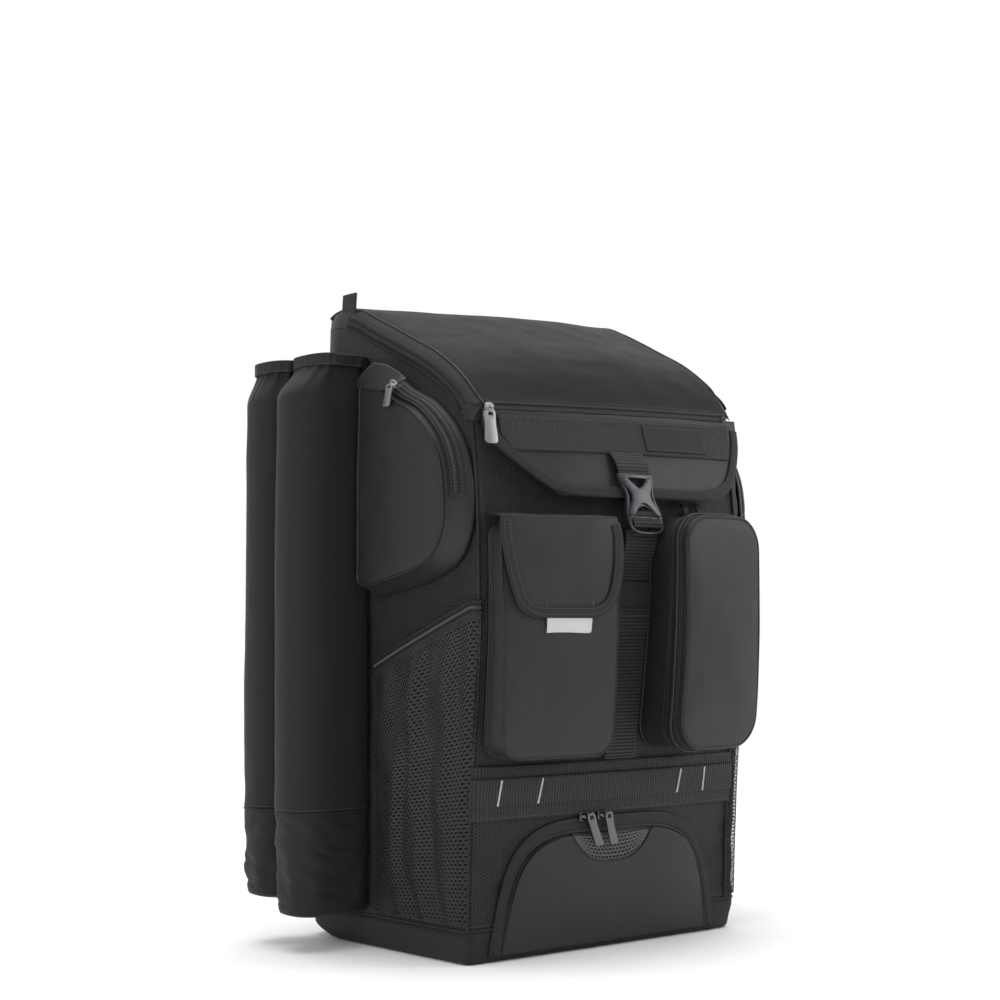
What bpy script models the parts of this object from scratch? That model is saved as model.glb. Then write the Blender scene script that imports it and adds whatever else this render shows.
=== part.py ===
# Baseball bat backpack, standing on its base.
# Origin at the centre of the base, metres, +Z up, pockets on the -Y side, bat sleeves on the -X and +X sides.

import bmesh
import bpy
import math

# Whole bag
WIDTH = 0.350
DEPTH = 0.262
CLOTH = 0.0020
GAP = 0.0004
RIM_FRONT_Z = 0.500
RIM_BACK_Z = 0.617
FRONT_CORNER = 0.010
BACK_CORNER_LOW = 0.030
BACK_CORNER_HIGH = 0.055
FRONT_LEAN = 0.021
FRONT_CROWN = 0.020
BACK_LEAN = 0.010
SLUMP = 0.006
SLUMP_START_Z = 0.360
BASE_HEIGHT = 0.030
BASE_EDGE = 0.006

# Lid
LID_FRONT_Z = 0.512
LID_TOP_Z = 0.628
LID_CROWN = 0.006
LID_SIDE_INSET = 0.009
LID_OVERHANG = 0.005
ZIP_TAPE = 0.0012
ZIP_DROP = 0.002
LID_ZIP_REACH = 0.78
PULLER_THICK = 0.0015
PULLER_LONG = 0.036
PULLER_WIDE = 0.008
LID_PULLER_INSET = 0.010
LID_PULLER_DROP = 0.003
TAB_WIDE = 0.022
TAB_TALL = 0.031
TAB_THICK = 0.0020
TAB_Y = 0.058

# Front flap and buckle
FLAP_TOP_Z = 0.507
FLAP_BOTTOM_Z = 0.425
FLAP_CLOTH = 0.0028
FLAP_STAND = 0.0035
FLAP_LIFT = 0.007
BINDING_WIDE = 0.010
BINDING_THICK = 0.0012
BINDING_START = 0.06
BAND_MARGIN = 0.0175
WEBBING = 0.0015
BAND_TOP_Z = 0.501
BAND_BOTTOM_Z = 0.467
PATCH_X = 0.062
PATCH_WIDE = 0.086
PATCH_TALL = 0.025
BUCKLE_X = -0.004
BUCKLE_WIDE = 0.045
BUCKLE_TOP_Z = 0.448
BUCKLE_TALL = 0.044
BUCKLE_THICK = 0.006
BUCKLE_BAR = 0.011
BUCKLE_STRAP_WIDE = 0.038

# Webbing on the front
STRIP_WIDE = 0.040
STRIP_X = -0.002
STRIP_TOP_Z = 0.400
STRIP_RISE_START = 0.045
STRIP_RISE_LONG = 0.040
KEEPER_INSET = 0.0004
KEEPER_TOP_Z = 0.346
KEEPER_BOTTOM_Z = 0.296
WIDE_BAND_TOP_Z = 0.177
WIDE_BAND_BOTTOM_Z = 0.128
NARROW_BAND_TOP_Z = 0.166
NARROW_BAND_BOTTOM_Z = 0.140
BAND_END_S = 0.163

# Flap pocket, left on the front
FLAP_POCKET_X = -0.103
FLAP_POCKET_WIDE = 0.124
FLAP_POCKET_BOTTOM_Z = 0.184
FLAP_POCKET_TALL = 0.218
FLAP_POCKET_DEEP = 0.024
FLAP_POCKET_ROUND = 0.018
POCKET_FLAP_DROP = 0.096
POCKET_BINDING_START = 0.03
PULL_TAB_WIDE = 0.048
PULL_TAB_TALL = 0.016

# Zip pocket, right on the front
ZIP_POCKET_X = 0.072
ZIP_POCKET_WIDE = 0.104
ZIP_POCKET_BOTTOM_Z = 0.186
ZIP_POCKET_TALL = 0.222
ZIP_POCKET_DEEP = 0.050
ZIP_POCKET_ROUND = 0.027
ZIP_TAPE_WIDE = 0.014
ZIP_POCKET_COLUMNS = 24
LOOP_WIDE = 0.008
LOOP_TALL = 0.012
LOOP_INNER_X = 0.072
LOOP_OUTER_X = 0.092

# Shoe door
DOOR_X = -0.0055
DOOR_WIDE = 0.291
DOOR_TOP_Z = 0.1235
DOOR_BOTTOM_Z = 0.006
DOOR_ZIP_WIDE = 0.013
DOOR_SQUARENESS = 4.5
DOOR_TAPER = 0.16
DOOR_BULGE = 0.005
VENT_WIDE = 0.104
VENT_TALL = 0.028
SHOE_PULLER_LONG = 0.030
SHOE_PULLER_LEFT_X = -0.039
SHOE_PULLER_RIGHT_X = -0.017
SHOE_PULLER_RISE = 0.001
SHOE_PULLER_LEAN = 0.4

# Side mesh pocket
MESH_FRONT_Z = 0.327
MESH_REAR_Z = 0.273
MESH_BOTTOM_Z = 0.036
MESH_REAR_Y = 0.006
MESH_BULGE = 0.015
MESH_CLOTH = 0.0014
MESH_ZIP_WIDE = 0.013

# Side zip pocket
SIDE_POCKET_DEEP = 0.024
SIDE_POCKET_ROUND = 0.010
SIDE_POCKET_LONG = 0.150
SIDE_POCKET_TALL = 0.224
SIDE_POCKET_REAR_Y = 0.004
SIDE_POCKET_TOP_Z = 0.560
SIDE_POCKET_COLUMNS = 22
SIDE_POCKET_LEAN = 0.10
SIDE_POCKET_FOOT = 0.0018
SIDE_ZIP_WIDE = 0.010
SIDE_PULLER_LONG = 0.024
SIDE_PULLER_Y = -0.056
SIDE_PULLER_Z = 0.520

# Bat sleeves
SLEEVE_WIDE = 0.0615
SLEEVE_BACK_INSET = 0.089
SLEEVE_PITCH = 0.0635
SLEEVE_FRONT_REACH = 0.084
SLEEVE_REAR_REACH = 0.078
SLEEVE_TOP_Z = 0.566
SLEEVE_SEAM_Z = 0.129
SLEEVE_BOTTOM_Z = 0.037
SLEEVE_FOOT_RISE = 0.002
SLEEVE_FOOT_GIRTH = 0.78
SLEEVE_RIM = 0.011
SLEEVE_COLUMNS = 18
SLEEVE_SQUARENESS = 2.5
SLEEVE_SEAM_SQUARENESS = 6.0
RIM_GATHER = 0.0012
RIM_GATHERS = 5
RIM_LEAD = 0.006

# Back
BACK_PAD_WIDE = 0.250
BACK_PAD_BOTTOM_Z = 0.060
BACK_PAD_TOP_Z = 0.580
BACK_PAD_THICK = 0.012
BACK_PAD_CORNER = 0.030
BACK_PAD_CORNER_SHARE = 0.06
STRAP_WIDE = 0.062
STRAP_THICK = 0.009
STRAP_ARCH = 0.032
STRAP_TOP_X = 0.062
STRAP_LOW_X = 0.098
STRAP_TOP_Z = 0.570
STRAP_LOW_Z = 0.220
LOWER_STRAP_WIDE = 0.025
LOWER_STRAP_END_Z = 0.070
ADJUSTER_WIDE = 0.034
ADJUSTER_TALL = 0.026
ADJUSTER_THICK = 0.006
HANDLE_HALF_SPAN = 0.024
HANDLE_RISE = 0.026
HANDLE_RADIUS = 0.0045
HANDLE_FOOT_Z = 0.588

HALF = WIDTH / 2
SIDE_HEIGHT = LID_TOP_Z
SLEEVE_FRONT_Y = DEPTH / 2 - SLEEVE_BACK_INSET

# Front lean and crown at shares of the side height
FRONT_PROFILE = [
    # height, lean, crown
    (0.00, 0.00, 0.00),
    (0.20, 0.24, 0.22),
    (0.40, 0.76, 0.62),
    (0.50, 0.95, 0.85),
    (0.62, 0.92, 1.00),
    (0.72, 0.74, 0.78),
    (0.80, 0.55, 0.50),
    (1.00, 0.50, 0.40),
]

# Side zip line of the body, from the front corner to the back corner
RIM_LINE = [
    # depth, rise
    (0.00, 0.00),
    (0.03, 0.12),
    (0.07, 0.23),
    (0.18, 0.45),
    (0.30, 0.60),
    (0.42, 0.73),
    (0.54, 0.865),
    (0.65, 0.955),
    (0.80, 0.995),
    (1.00, 1.00),
]

# Lid from its front edge to its back edge, at the middle of the bag
LID_LINE = [
    # depth, rise
    (0.000, 0.00),
    (0.035, 0.08),
    (0.080, 0.19),
    (0.140, 0.32),
    (0.260, 0.51),
    (0.390, 0.66),
    (0.500, 0.785),
    (0.620, 0.91),
    (0.720, 0.975),
    (0.850, 1.00),
    (0.950, 0.985),
    (1.000, 0.950),
]

# Front flap edges at shares of its drop, as shares of the half width
FLAP_EDGES = [
    # drop, left, right
    (0.00, -0.955, 0.940),
    (0.30, -0.950, 0.925),
    (0.45, -0.895, 0.895),
    (0.72, -0.735, 0.830),
    (0.90, -0.610, 0.745),
    (1.00, -0.530, 0.600),
]

# Pocket flap edges at shares of its drop, as shares of the pocket's half width
POCKET_FLAP_EDGES = [
    # drop, left, right
    (0.00, -1.040, 0.985),
    (0.25, -1.020, 1.010),
    (0.50, -0.960, 1.000),
    (0.75, -0.870, 0.930),
    (0.92, -0.760, 0.790),
    (1.00, -0.560, 0.600),
]

# Side pocket outline, seen from the side, clockwise from the rear top corner
SIDE_POCKET_OUTLINE = [
    # forward, down
    (0.00, 0.00),
    (0.20, 0.035),
    (0.42, 0.135),
    (0.62, 0.225),
    (0.80, 0.345),
    (0.93, 0.470),
    (1.00, 0.620),
    (0.985, 0.760),
    (0.86, 0.885),
    (0.64, 0.945),
    (0.35, 0.985),
    (0.02, 1.000),
    (0.00, 0.800),
    (0.00, 0.520),
    (0.00, 0.240),
]

# Sleeve girth from the seam up to the rim
SLEEVE_UPPER = [
    # height, girth
    (0.00, 1.00),
    (0.30, 1.00),
    (0.66, 0.99),
    (0.86, 0.96),
    (0.94, 0.90),
]

# Sleeve girth from the closed bottom up to the seam
SLEEVE_LOWER = [
    # height, girth
    (0.12, 0.90),
    (0.40, 0.98),
    (1.00, 1.00),
]

# Pocket wall from its foot to the middle of its face
POCKET_WALL = [
    # inset in corner radii, inset towards the middle, rise
    (0.00, 0.00, 0.00),
    (0.05, 0.00, 0.72),
    (0.28, 0.00, 0.93),
    (0.80, 0.00, 1.00),
    (0.80, 0.50, 1.04),
    (0.80, 1.00, 1.05),
]

# Columns round half of the body, from the middle of the front to the middle of the back
RING_COLUMNS = [
    # column, place: front to 0.34, corner to 0.42, side to 0.68, corner to 0.80, back to 1
    (0, 0.00),
    (4, 0.34),
    (7, 0.42),
    (11, 0.68),
    (14, 0.80),
    (16, 1.00),
]
HALF_RING_COLUMNS = RING_COLUMNS[-1][0]
RING = 2 * HALF_RING_COLUMNS

COLOURS = {
    "coated": ((0.032, 0.032, 0.034), 0.55, 0.0),
    "ripstop": ((0.022, 0.022, 0.023), 0.70, 0.0),
    "neoprene": ((0.020, 0.020, 0.021), 0.80, 0.0),
    "webbing": ((0.026, 0.026, 0.027), 0.75, 0.0),
    "netting": ((0.015, 0.015, 0.016), 0.85, 0.0),
    "plastic": ((0.030, 0.032, 0.038), 0.30, 0.0),
    "zipper": ((0.020, 0.020, 0.022), 0.50, 0.1),
    "silver": ((0.560, 0.560, 0.570), 0.30, 1.0),
    "gunmetal": ((0.160, 0.160, 0.170), 0.30, 1.0),
    "silverTape": ((0.620, 0.620, 0.620), 0.45, 0.3),
}


def clear_scene():
    for item in list(bpy.data.objects):
        bpy.data.objects.remove(item, do_unlink=True)


def finish(name):
    material = bpy.data.materials.get(name)
    if material is None:
        colour, roughness, metallic = COLOURS[name]
        material = bpy.data.materials.new(name)
        material.use_nodes = True
        shader = material.node_tree.nodes["Principled BSDF"]
        shader.inputs["Base Color"].default_value = (*colour, 1.0)
        shader.inputs["Roughness"].default_value = roughness
        shader.inputs["Metallic"].default_value = metallic
    return material


def clamp(value, low=0.0, high=1.0):
    return max(low, min(high, value))


def smooth_row(rows, share):
    """Values of a table at a share of its first column, with eased joins between rows."""
    share = clamp(share, rows[0][0], rows[-1][0])
    index = 0
    while index < len(rows) - 2 and share > rows[index + 1][0]:
        index += 1
    before = rows[max(index - 1, 0)]
    start = rows[index]
    end = rows[index + 1]
    after = rows[min(index + 2, len(rows) - 1)]
    span = end[0] - start[0]
    t = (share - start[0]) / span
    values = []
    for column in range(1, len(start)):
        slope_in = (end[column] - before[column]) / (end[0] - before[0]) * span
        slope_out = (after[column] - start[column]) / (after[0] - start[0]) * span
        values.append(
            start[column] * (2 * t**3 - 3 * t**2 + 1)
            + slope_in * (t**3 - 2 * t**2 + t)
            + end[column] * (3 * t**2 - 2 * t**3)
            + slope_out * (t**3 - t**2)
        )
    return values


def straight_row(rows, share):
    """Values of a table at a share of its first column, straight between rows."""
    share = clamp(share, rows[0][0], rows[-1][0])
    index = 0
    while index < len(rows) - 2 and share > rows[index + 1][0]:
        index += 1
    start = rows[index]
    end = rows[index + 1]
    t = (share - start[0]) / (end[0] - start[0])
    return [start[c] + (end[c] - start[c]) * t for c in range(1, len(start))]


def slump(x, z):
    """The upper bag leans to its left: the height that a point at x gains."""
    reach = max(0.0, (z - SLUMP_START_Z) / (LID_FRONT_Z - SLUMP_START_Z))
    return SLUMP * (x / HALF) * reach


def front_y(x, z):
    lean, crown = smooth_row(FRONT_PROFILE, z / SIDE_HEIGHT)
    across = clamp(abs(x) / HALF)
    return -(DEPTH / 2 + FRONT_LEAN * lean + FRONT_CROWN * crown * (1 - across**2))


def front_slope(x, z):
    crown = smooth_row(FRONT_PROFILE, z / SIDE_HEIGHT)[1]
    return 2 * FRONT_CROWN * crown * x / HALF**2


def back_y(z):
    return DEPTH / 2 - BACK_LEAN * clamp(z / SIDE_HEIGHT)


def back_corner(z):
    share = clamp(z / SIDE_HEIGHT)
    return BACK_CORNER_LOW + (BACK_CORNER_HIGH - BACK_CORNER_LOW) * share


def front_end(z):
    """Where the crowned front meets its rounded corner: x and the outward angle."""
    x = HALF - FRONT_CORNER
    angle = 0.0
    for _ in range(3):
        angle = math.atan(front_slope(x, z))
        x = HALF - FRONT_CORNER * (1 - math.sin(angle))
    return x, angle


def on_front(s, z, off=0.0):
    """Point at a distance s along the front from its middle, round the corner and on to the side."""
    side = 1 if s >= 0 else -1
    run = abs(s)
    end, tilt = front_end(z)
    if run <= end:
        angle = math.atan(front_slope(run, z))
        x = run + math.sin(angle) * off
        y = front_y(run, z) - math.cos(angle) * off
        return (side * x, y, z + slump(side * run, z))
    turn = math.pi / 2 - tilt
    centre_x = HALF - FRONT_CORNER
    centre_y = front_y(end, z) + FRONT_CORNER * math.cos(tilt)
    arc = min((run - end) / FRONT_CORNER, turn)
    angle = tilt + arc
    past = max(0.0, run - end - turn * FRONT_CORNER)
    reach = FRONT_CORNER + off
    x = centre_x + math.sin(angle) * reach
    y = centre_y - math.cos(angle) * reach + past
    return (side * x, y, z + slump(side * x, z))


def ring_point(share, z, inset=0.0):
    """Point round the body at a share of its columns: 0 is the middle of the front, 0.5 of the back."""
    side = 1 if share <= 0.5 else -1
    column = 2 * (share if side == 1 else 1 - share) * HALF_RING_COLUMNS
    t = straight_row(RING_COLUMNS, column)[0]
    end, tilt = front_end(z)
    radius = back_corner(z)
    corner_y = front_y(end, z) + FRONT_CORNER * math.cos(tilt)
    back_start = back_y(z) - radius
    if t <= 0.34:
        x = end * t / 0.34
        angle = math.atan(front_slope(x, z))
        normal = (math.sin(angle), -math.cos(angle))
        point = (x, front_y(x, z))
    elif t <= 0.42:
        angle = tilt + (math.pi / 2 - tilt) * (t - 0.34) / 0.08
        normal = (math.sin(angle), -math.cos(angle))
        point = (HALF - FRONT_CORNER + FRONT_CORNER * normal[0], corner_y + FRONT_CORNER * normal[1])
    elif t <= 0.68:
        normal = (1.0, 0.0)
        point = (HALF, corner_y + (back_start - corner_y) * (t - 0.42) / 0.26)
    elif t <= 0.80:
        angle = (math.pi / 2) * (t - 0.68) / 0.12
        normal = (math.cos(angle), math.sin(angle))
        point = (HALF - radius + radius * normal[0], back_start + radius * normal[1])
    else:
        normal = (0.0, 1.0)
        point = ((HALF - radius) * (1 - (t - 0.80) / 0.20), back_y(z))
    x = (point[0] - normal[0] * inset) * side
    return (x, point[1] - normal[1] * inset, z)


def rim_z(y):
    """Height of the body's open rim above the base, by depth."""
    front = front_y(HALF, RIM_FRONT_Z) + FRONT_CORNER
    share = clamp((y - front) / (back_y(RIM_BACK_Z) - front))
    return RIM_FRONT_Z + (RIM_BACK_Z - RIM_FRONT_Z) * smooth_row(RIM_LINE, share)[0]


def add_object(name, mesh_bm, material, sharp=40):
    mesh = bpy.data.meshes.new(name)
    mesh_bm.to_mesh(mesh)
    mesh_bm.free()
    item = bpy.data.objects.new(name, mesh)
    BAG.objects.link(item)
    mesh.materials.append(finish(material))
    mesh.shade_smooth()
    mesh.set_sharp_from_angle(angle=math.radians(sharp))
    return item


def panel(name, columns, rows, place, thickness, material, flip=False):
    """A sheet laid out by place(u, v) and thickened away from the bag, or inwards when thickness is negative."""
    sheet = bmesh.new()
    bmesh.ops.create_grid(sheet, x_segments=columns, y_segments=rows, size=0.5)
    for vert in sheet.verts:
        vert.co = place(vert.co.x + 0.5, vert.co.y + 0.5)
    bmesh.ops.remove_doubles(sheet, verts=sheet.verts, dist=0.00001)
    if flip:
        bmesh.ops.reverse_faces(sheet, faces=sheet.faces)
    item = add_object(name, sheet, material)
    shell = item.modifiers.new("cloth", "SOLIDIFY")
    shell.thickness = abs(thickness)
    shell.offset = 1.0 if thickness > 0 else -1.0
    shell.use_even_offset = True
    return item


def mirrored(place):
    """The same sheet on the right side of the bag."""

    def mirror_place(u, v):
        x, y, z = place(u, v)
        return (-x, y, z)

    return mirror_place


def build_body():
    def body_place(u, v):
        nominal = rim_z(ring_point(u, RIM_FRONT_Z)[1])
        if nominal > RIM_FRONT_Z + GAP:
            for _ in range(3):
                nominal = rim_z(ring_point(u, nominal)[1])
        z = BASE_HEIGHT + GAP + (nominal - BASE_HEIGHT - GAP) * v
        x, y, _ = ring_point(u, z)
        return (x, y, z + slump(x, z))

    panel("main_body", RING, 8, body_place, -CLOTH, "ripstop")

    base_rows = [
        # inset towards the middle, inset in edge radii, rise in edge radii
        (1.00, 1.0, 0.0),
        (0.45, 1.0, 0.0),
        (0.00, 1.0, 0.0),
        (0.00, 0.3, 0.25),
        (0.00, 0.0, 1.0),
    ]

    def base_place(u, v):
        step = round(v * len(base_rows))
        if step == len(base_rows):
            return ring_point(u, BASE_HEIGHT)
        middle, inset, rise = base_rows[step]
        x, y, z = ring_point(u, rise * BASE_EDGE, inset * BASE_EDGE)
        return (x * (1 - middle), y * (1 - middle), z)

    panel("base_panel", RING, len(base_rows), base_place, -CLOTH, "ripstop")


def lid_point(x, share):
    """Top surface of the lid at x, a share of the way back."""
    front = front_y(clamp(x, -HALF, HALF), LID_FRONT_Z) - LID_OVERHANG
    back = back_y(LID_TOP_Z) - CLOTH / 2
    rise = smooth_row(LID_LINE, share)[0]
    across = clamp(abs(x) / (HALF - LID_SIDE_INSET))
    round_back = clamp((share - 0.62) / 0.38)
    radius = back_corner(LID_TOP_Z)
    past = clamp(abs(x) - (HALF - radius), 0.0, radius)
    corner = (radius - math.sqrt(radius**2 - past**2)) * round_back
    y = front + (back - front) * share - corner
    z = LID_FRONT_Z + (LID_TOP_Z - LID_FRONT_Z) * rise
    z += LID_CROWN * (1 - across**2) * clamp(share * 5)
    return (x, y, z)


def build_lid():
    half = HALF - LID_SIDE_INSET

    def lid_place(u, v):
        x, y, z = lid_point(half * math.sin(math.pi * (u - 0.5)), v)
        return (x, y, z + slump(x, z))

    panel("lid_panel", 12, 10, lid_place, -CLOTH, "coated")

    # The zip tape runs up the left side, along the front and back down the right side.
    def edge_pair(t):
        side = -1 if t < 0 else 1
        run = abs(t)
        if run < 1:
            x = half * run * side
            lower = on_front(x, FLAP_TOP_Z + GAP * 3, FLAP_STAND * 0.5)
            upper = lid_point(x, 0.0)
            upper = (upper[0], upper[1] + CLOTH + GAP, upper[2] + slump(upper[0], upper[2]) - ZIP_DROP)
            return lower, upper
        share = run - 1
        top = lid_point(half * side, share)
        upper = (top[0] + (CLOTH + GAP) * side * 0.2, top[1], top[2] + slump(top[0], top[2]) - CLOTH - ZIP_DROP)
        y = top[1]
        rim = max(rim_z(y), FLAP_TOP_Z)
        lower_x = (HALF + GAP) * side
        lower = (lower_x, y, min(rim + slump(lower_x, rim) + GAP * 3, upper[2] - 0.004))
        return lower, upper

    def zip_place(u, v):
        t = (u - 0.5) * 2 * (1 + LID_ZIP_REACH)
        lower, upper = edge_pair(t)
        return tuple(lower[i] + (upper[i] - lower[i]) * v for i in range(3))

    panel("lid_zip_tape", 40, 1, zip_place, ZIP_TAPE, "zipper")

    def puller_place(u, v):
        x = -HALF + LID_PULLER_INSET + PULLER_WIDE * (u - 0.5)
        z = FLAP_TOP_Z - LID_PULLER_DROP - PULLER_LONG * (1 - v)
        drop = (FLAP_TOP_Z - z) / (FLAP_TOP_Z - FLAP_BOTTOM_Z)
        return flap_point(x, drop, FLAP_CLOTH + BINDING_THICK + GAP * 2)

    panel("lid_puller", 2, 2, puller_place, PULLER_THICK, "silver")

    front = lid_point(half, 0.0)[1]
    tab_share = (TAB_Y - front) / (lid_point(half, 0.7)[1] - front) * 0.7
    tape_lower, tape_upper = edge_pair(-1 - tab_share)

    def tab_place(u, v):
        x = -HALF + LID_SIDE_INSET / 2
        foot = (tape_lower[2] + tape_upper[2]) / 2 + ZIP_TAPE + GAP * 3
        return (x, TAB_Y + TAB_WIDE * (0.5 - u), foot + TAB_TALL * v)

    panel("edge_tab", 1, 1, tab_place, TAB_THICK, "webbing")


def flap_stand(drop):
    return FLAP_STAND + FLAP_LIFT * math.sin(math.pi / 2 * clamp(drop))


def flap_point(s, drop, off):
    z = FLAP_TOP_Z - (FLAP_TOP_Z - FLAP_BOTTOM_Z) * drop
    return on_front(s, z, flap_stand(drop) + off)


def flap_edge(t):
    """Edge of the flap at t: 0 at the left top, 1 at the right top, as run and drop."""
    if t < 0.4:
        drop = t / 0.4
        return (straight_row(FLAP_EDGES, drop)[0] * HALF, drop)
    if t > 0.6:
        drop = (1 - t) / 0.4
        return (straight_row(FLAP_EDGES, drop)[1] * HALF, drop)
    left, right = FLAP_EDGES[-1][1:]
    return ((left + (right - left) * (t - 0.4) / 0.2) * HALF, 1.0)


def edge_strip(edge, t, across, width, height):
    """Point on a strip that follows an edge, a distance inside it, as run and drop."""
    step = 0.01
    here = edge(t)
    before = edge(max(t - step, 0.0))
    after = edge(min(t + step, 1.0))
    dx = after[0] - before[0]
    dz = -(after[1] - before[1]) * height
    length = math.hypot(dx, dz)
    run = here[0] - dz / length * width * across
    drop = here[1] - dx / length * width * across / height
    return (run, drop)


def build_flap():
    height = FLAP_TOP_Z - FLAP_BOTTOM_Z

    def flap_place(u, v):
        left, right = straight_row(FLAP_EDGES, 1 - v)
        return flap_point((left + (right - left) * u) * HALF, 1 - v, 0.0)

    panel("front_flap", 12, 6, flap_place, FLAP_CLOTH, "coated")

    def binding_place(u, v):
        t = BINDING_START + (1 - 2 * BINDING_START) * u
        run, drop = edge_strip(flap_edge, t, 1 - v, BINDING_WIDE, height)
        return flap_point(run, drop, FLAP_CLOTH + GAP)

    panel("flap_binding", 24, 1, binding_place, BINDING_THICK, "webbing", flip=True)

    def band_place(u, v):
        z = BAND_BOTTOM_Z + (BAND_TOP_Z - BAND_BOTTOM_Z) * v
        drop = (FLAP_TOP_Z - z) / height
        left, right = straight_row(FLAP_EDGES, drop)
        start = left * HALF + BAND_MARGIN
        end = right * HALF - BAND_MARGIN
        return flap_point(start + (end - start) * u, drop, FLAP_CLOTH + GAP)

    panel("webbing_band", 12, 1, band_place, WEBBING, "webbing")

    def patch_place(u, v):
        z = (BAND_BOTTOM_Z + BAND_TOP_Z) / 2 + PATCH_TALL * (v - 0.5)
        drop = (FLAP_TOP_Z - z) / height
        return flap_point(PATCH_X + PATCH_WIDE * (u - 0.5), drop, FLAP_CLOTH + WEBBING + GAP * 2)

    panel("label_patch", 5, 1, patch_place, BINDING_THICK, "coated")


def plate(name, outline, holes, thickness, material, place):
    """A moulded plate from a flat outline with holes, set by place(x, z, side)."""
    curve = bpy.data.curves.new(name, "CURVE")
    curve.dimensions = "2D"
    curve.fill_mode = "BOTH"
    curve.extrude = thickness / 2
    for loop in [outline] + holes:
        spline = curve.splines.new("POLY")
        spline.points.add(len(loop) - 1)
        for point, (x, z) in zip(spline.points, loop):
            point.co = (x, z, 0.0, 1.0)
        spline.use_cyclic_u = True
    source = bpy.data.objects.new(name + "_outline", curve)
    BAG.objects.link(source)
    mesh = bpy.data.meshes.new_from_object(source.evaluated_get(bpy.context.evaluated_depsgraph_get()))
    bpy.data.objects.remove(source, do_unlink=True)
    flat = bmesh.new()
    flat.from_mesh(mesh)
    bpy.data.meshes.remove(mesh)
    bmesh.ops.remove_doubles(flat, verts=flat.verts, dist=0.00001)
    for vert in flat.verts:
        vert.co = place(vert.co.x, vert.co.y, vert.co.z)
    bmesh.ops.recalc_face_normals(flat, faces=flat.faces)
    return add_object(name, flat, material, sharp=30)


def build_buckle():
    top = BUCKLE_TOP_Z
    drop_top = (FLAP_TOP_Z - top) / (FLAP_TOP_Z - FLAP_BOTTOM_Z)
    surface = front_y(BUCKLE_X, top)
    cover = FLAP_CLOTH + BINDING_THICK + GAP * 4
    face_top = surface - flap_stand(drop_top) - cover
    face_low = front_y(BUCKLE_X, top - BUCKLE_TALL) - FLAP_STAND - FLAP_LIFT - cover

    def buckle_place(x, z, depth):
        share = z / BUCKLE_TALL
        y = face_low + (face_top - face_low) * share
        return (BUCKLE_X + x, y - BUCKLE_THICK / 2 - depth, top - BUCKLE_TALL + z)

    wide = BUCKLE_WIDE / 2
    waist = wide * 0.42
    arm = BUCKLE_TALL / 2
    outline = [
        (-wide, 0.0), (-wide * 0.55, 0.0), (0.0, arm * 0.62), (wide * 0.55, 0.0), (wide, 0.0),
        (wide, BUCKLE_TALL * 0.14), (waist, arm), (wide, BUCKLE_TALL * 0.84), (wide, BUCKLE_TALL),
        (-wide, BUCKLE_TALL), (-wide, BUCKLE_TALL * 0.84), (-waist, arm), (-wide, BUCKLE_TALL * 0.14),
    ]
    slot_half = wide * 0.52
    slot = [
        (-slot_half, BUCKLE_TALL * 0.80), (0.0, BUCKLE_TALL * 0.64), (slot_half, BUCKLE_TALL * 0.80),
        (slot_half, BUCKLE_TALL * 0.88), (-slot_half, BUCKLE_TALL * 0.88),
    ]
    plate("buckle_latch", outline, [slot], BUCKLE_THICK, "plastic", buckle_place)

    def bar_place(x, z, depth):
        y = face_low - BUCKLE_THICK / 2 - depth
        return (BUCKLE_X + x, y, top - BUCKLE_TALL - GAP * 2 - BUCKLE_BAR + z)

    wall = BUCKLE_BAR * 0.24
    frame = [(-wide, 0.0), (wide, 0.0), (wide, BUCKLE_BAR), (-wide, BUCKLE_BAR)]
    window_top = BUCKLE_BAR - wall
    window = [(-wide + wall, wall), (wide - wall, wall), (wide - wall, window_top), (-wide + wall, window_top)]
    plate("buckle_bar", frame, [window], BUCKLE_THICK * 0.8, "plastic", bar_place)

    def strap_place(u, v):
        z = top + GAP * 2 + (BAND_BOTTOM_Z - GAP * 3 - top) * v
        drop = (FLAP_TOP_Z - z) / (FLAP_TOP_Z - FLAP_BOTTOM_Z)
        return flap_point(BUCKLE_X + BUCKLE_STRAP_WIDE * (u - 0.5), drop, FLAP_CLOTH + GAP)

    panel("buckle_strap", 2, 1, strap_place, WEBBING * 2, "webbing")


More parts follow.
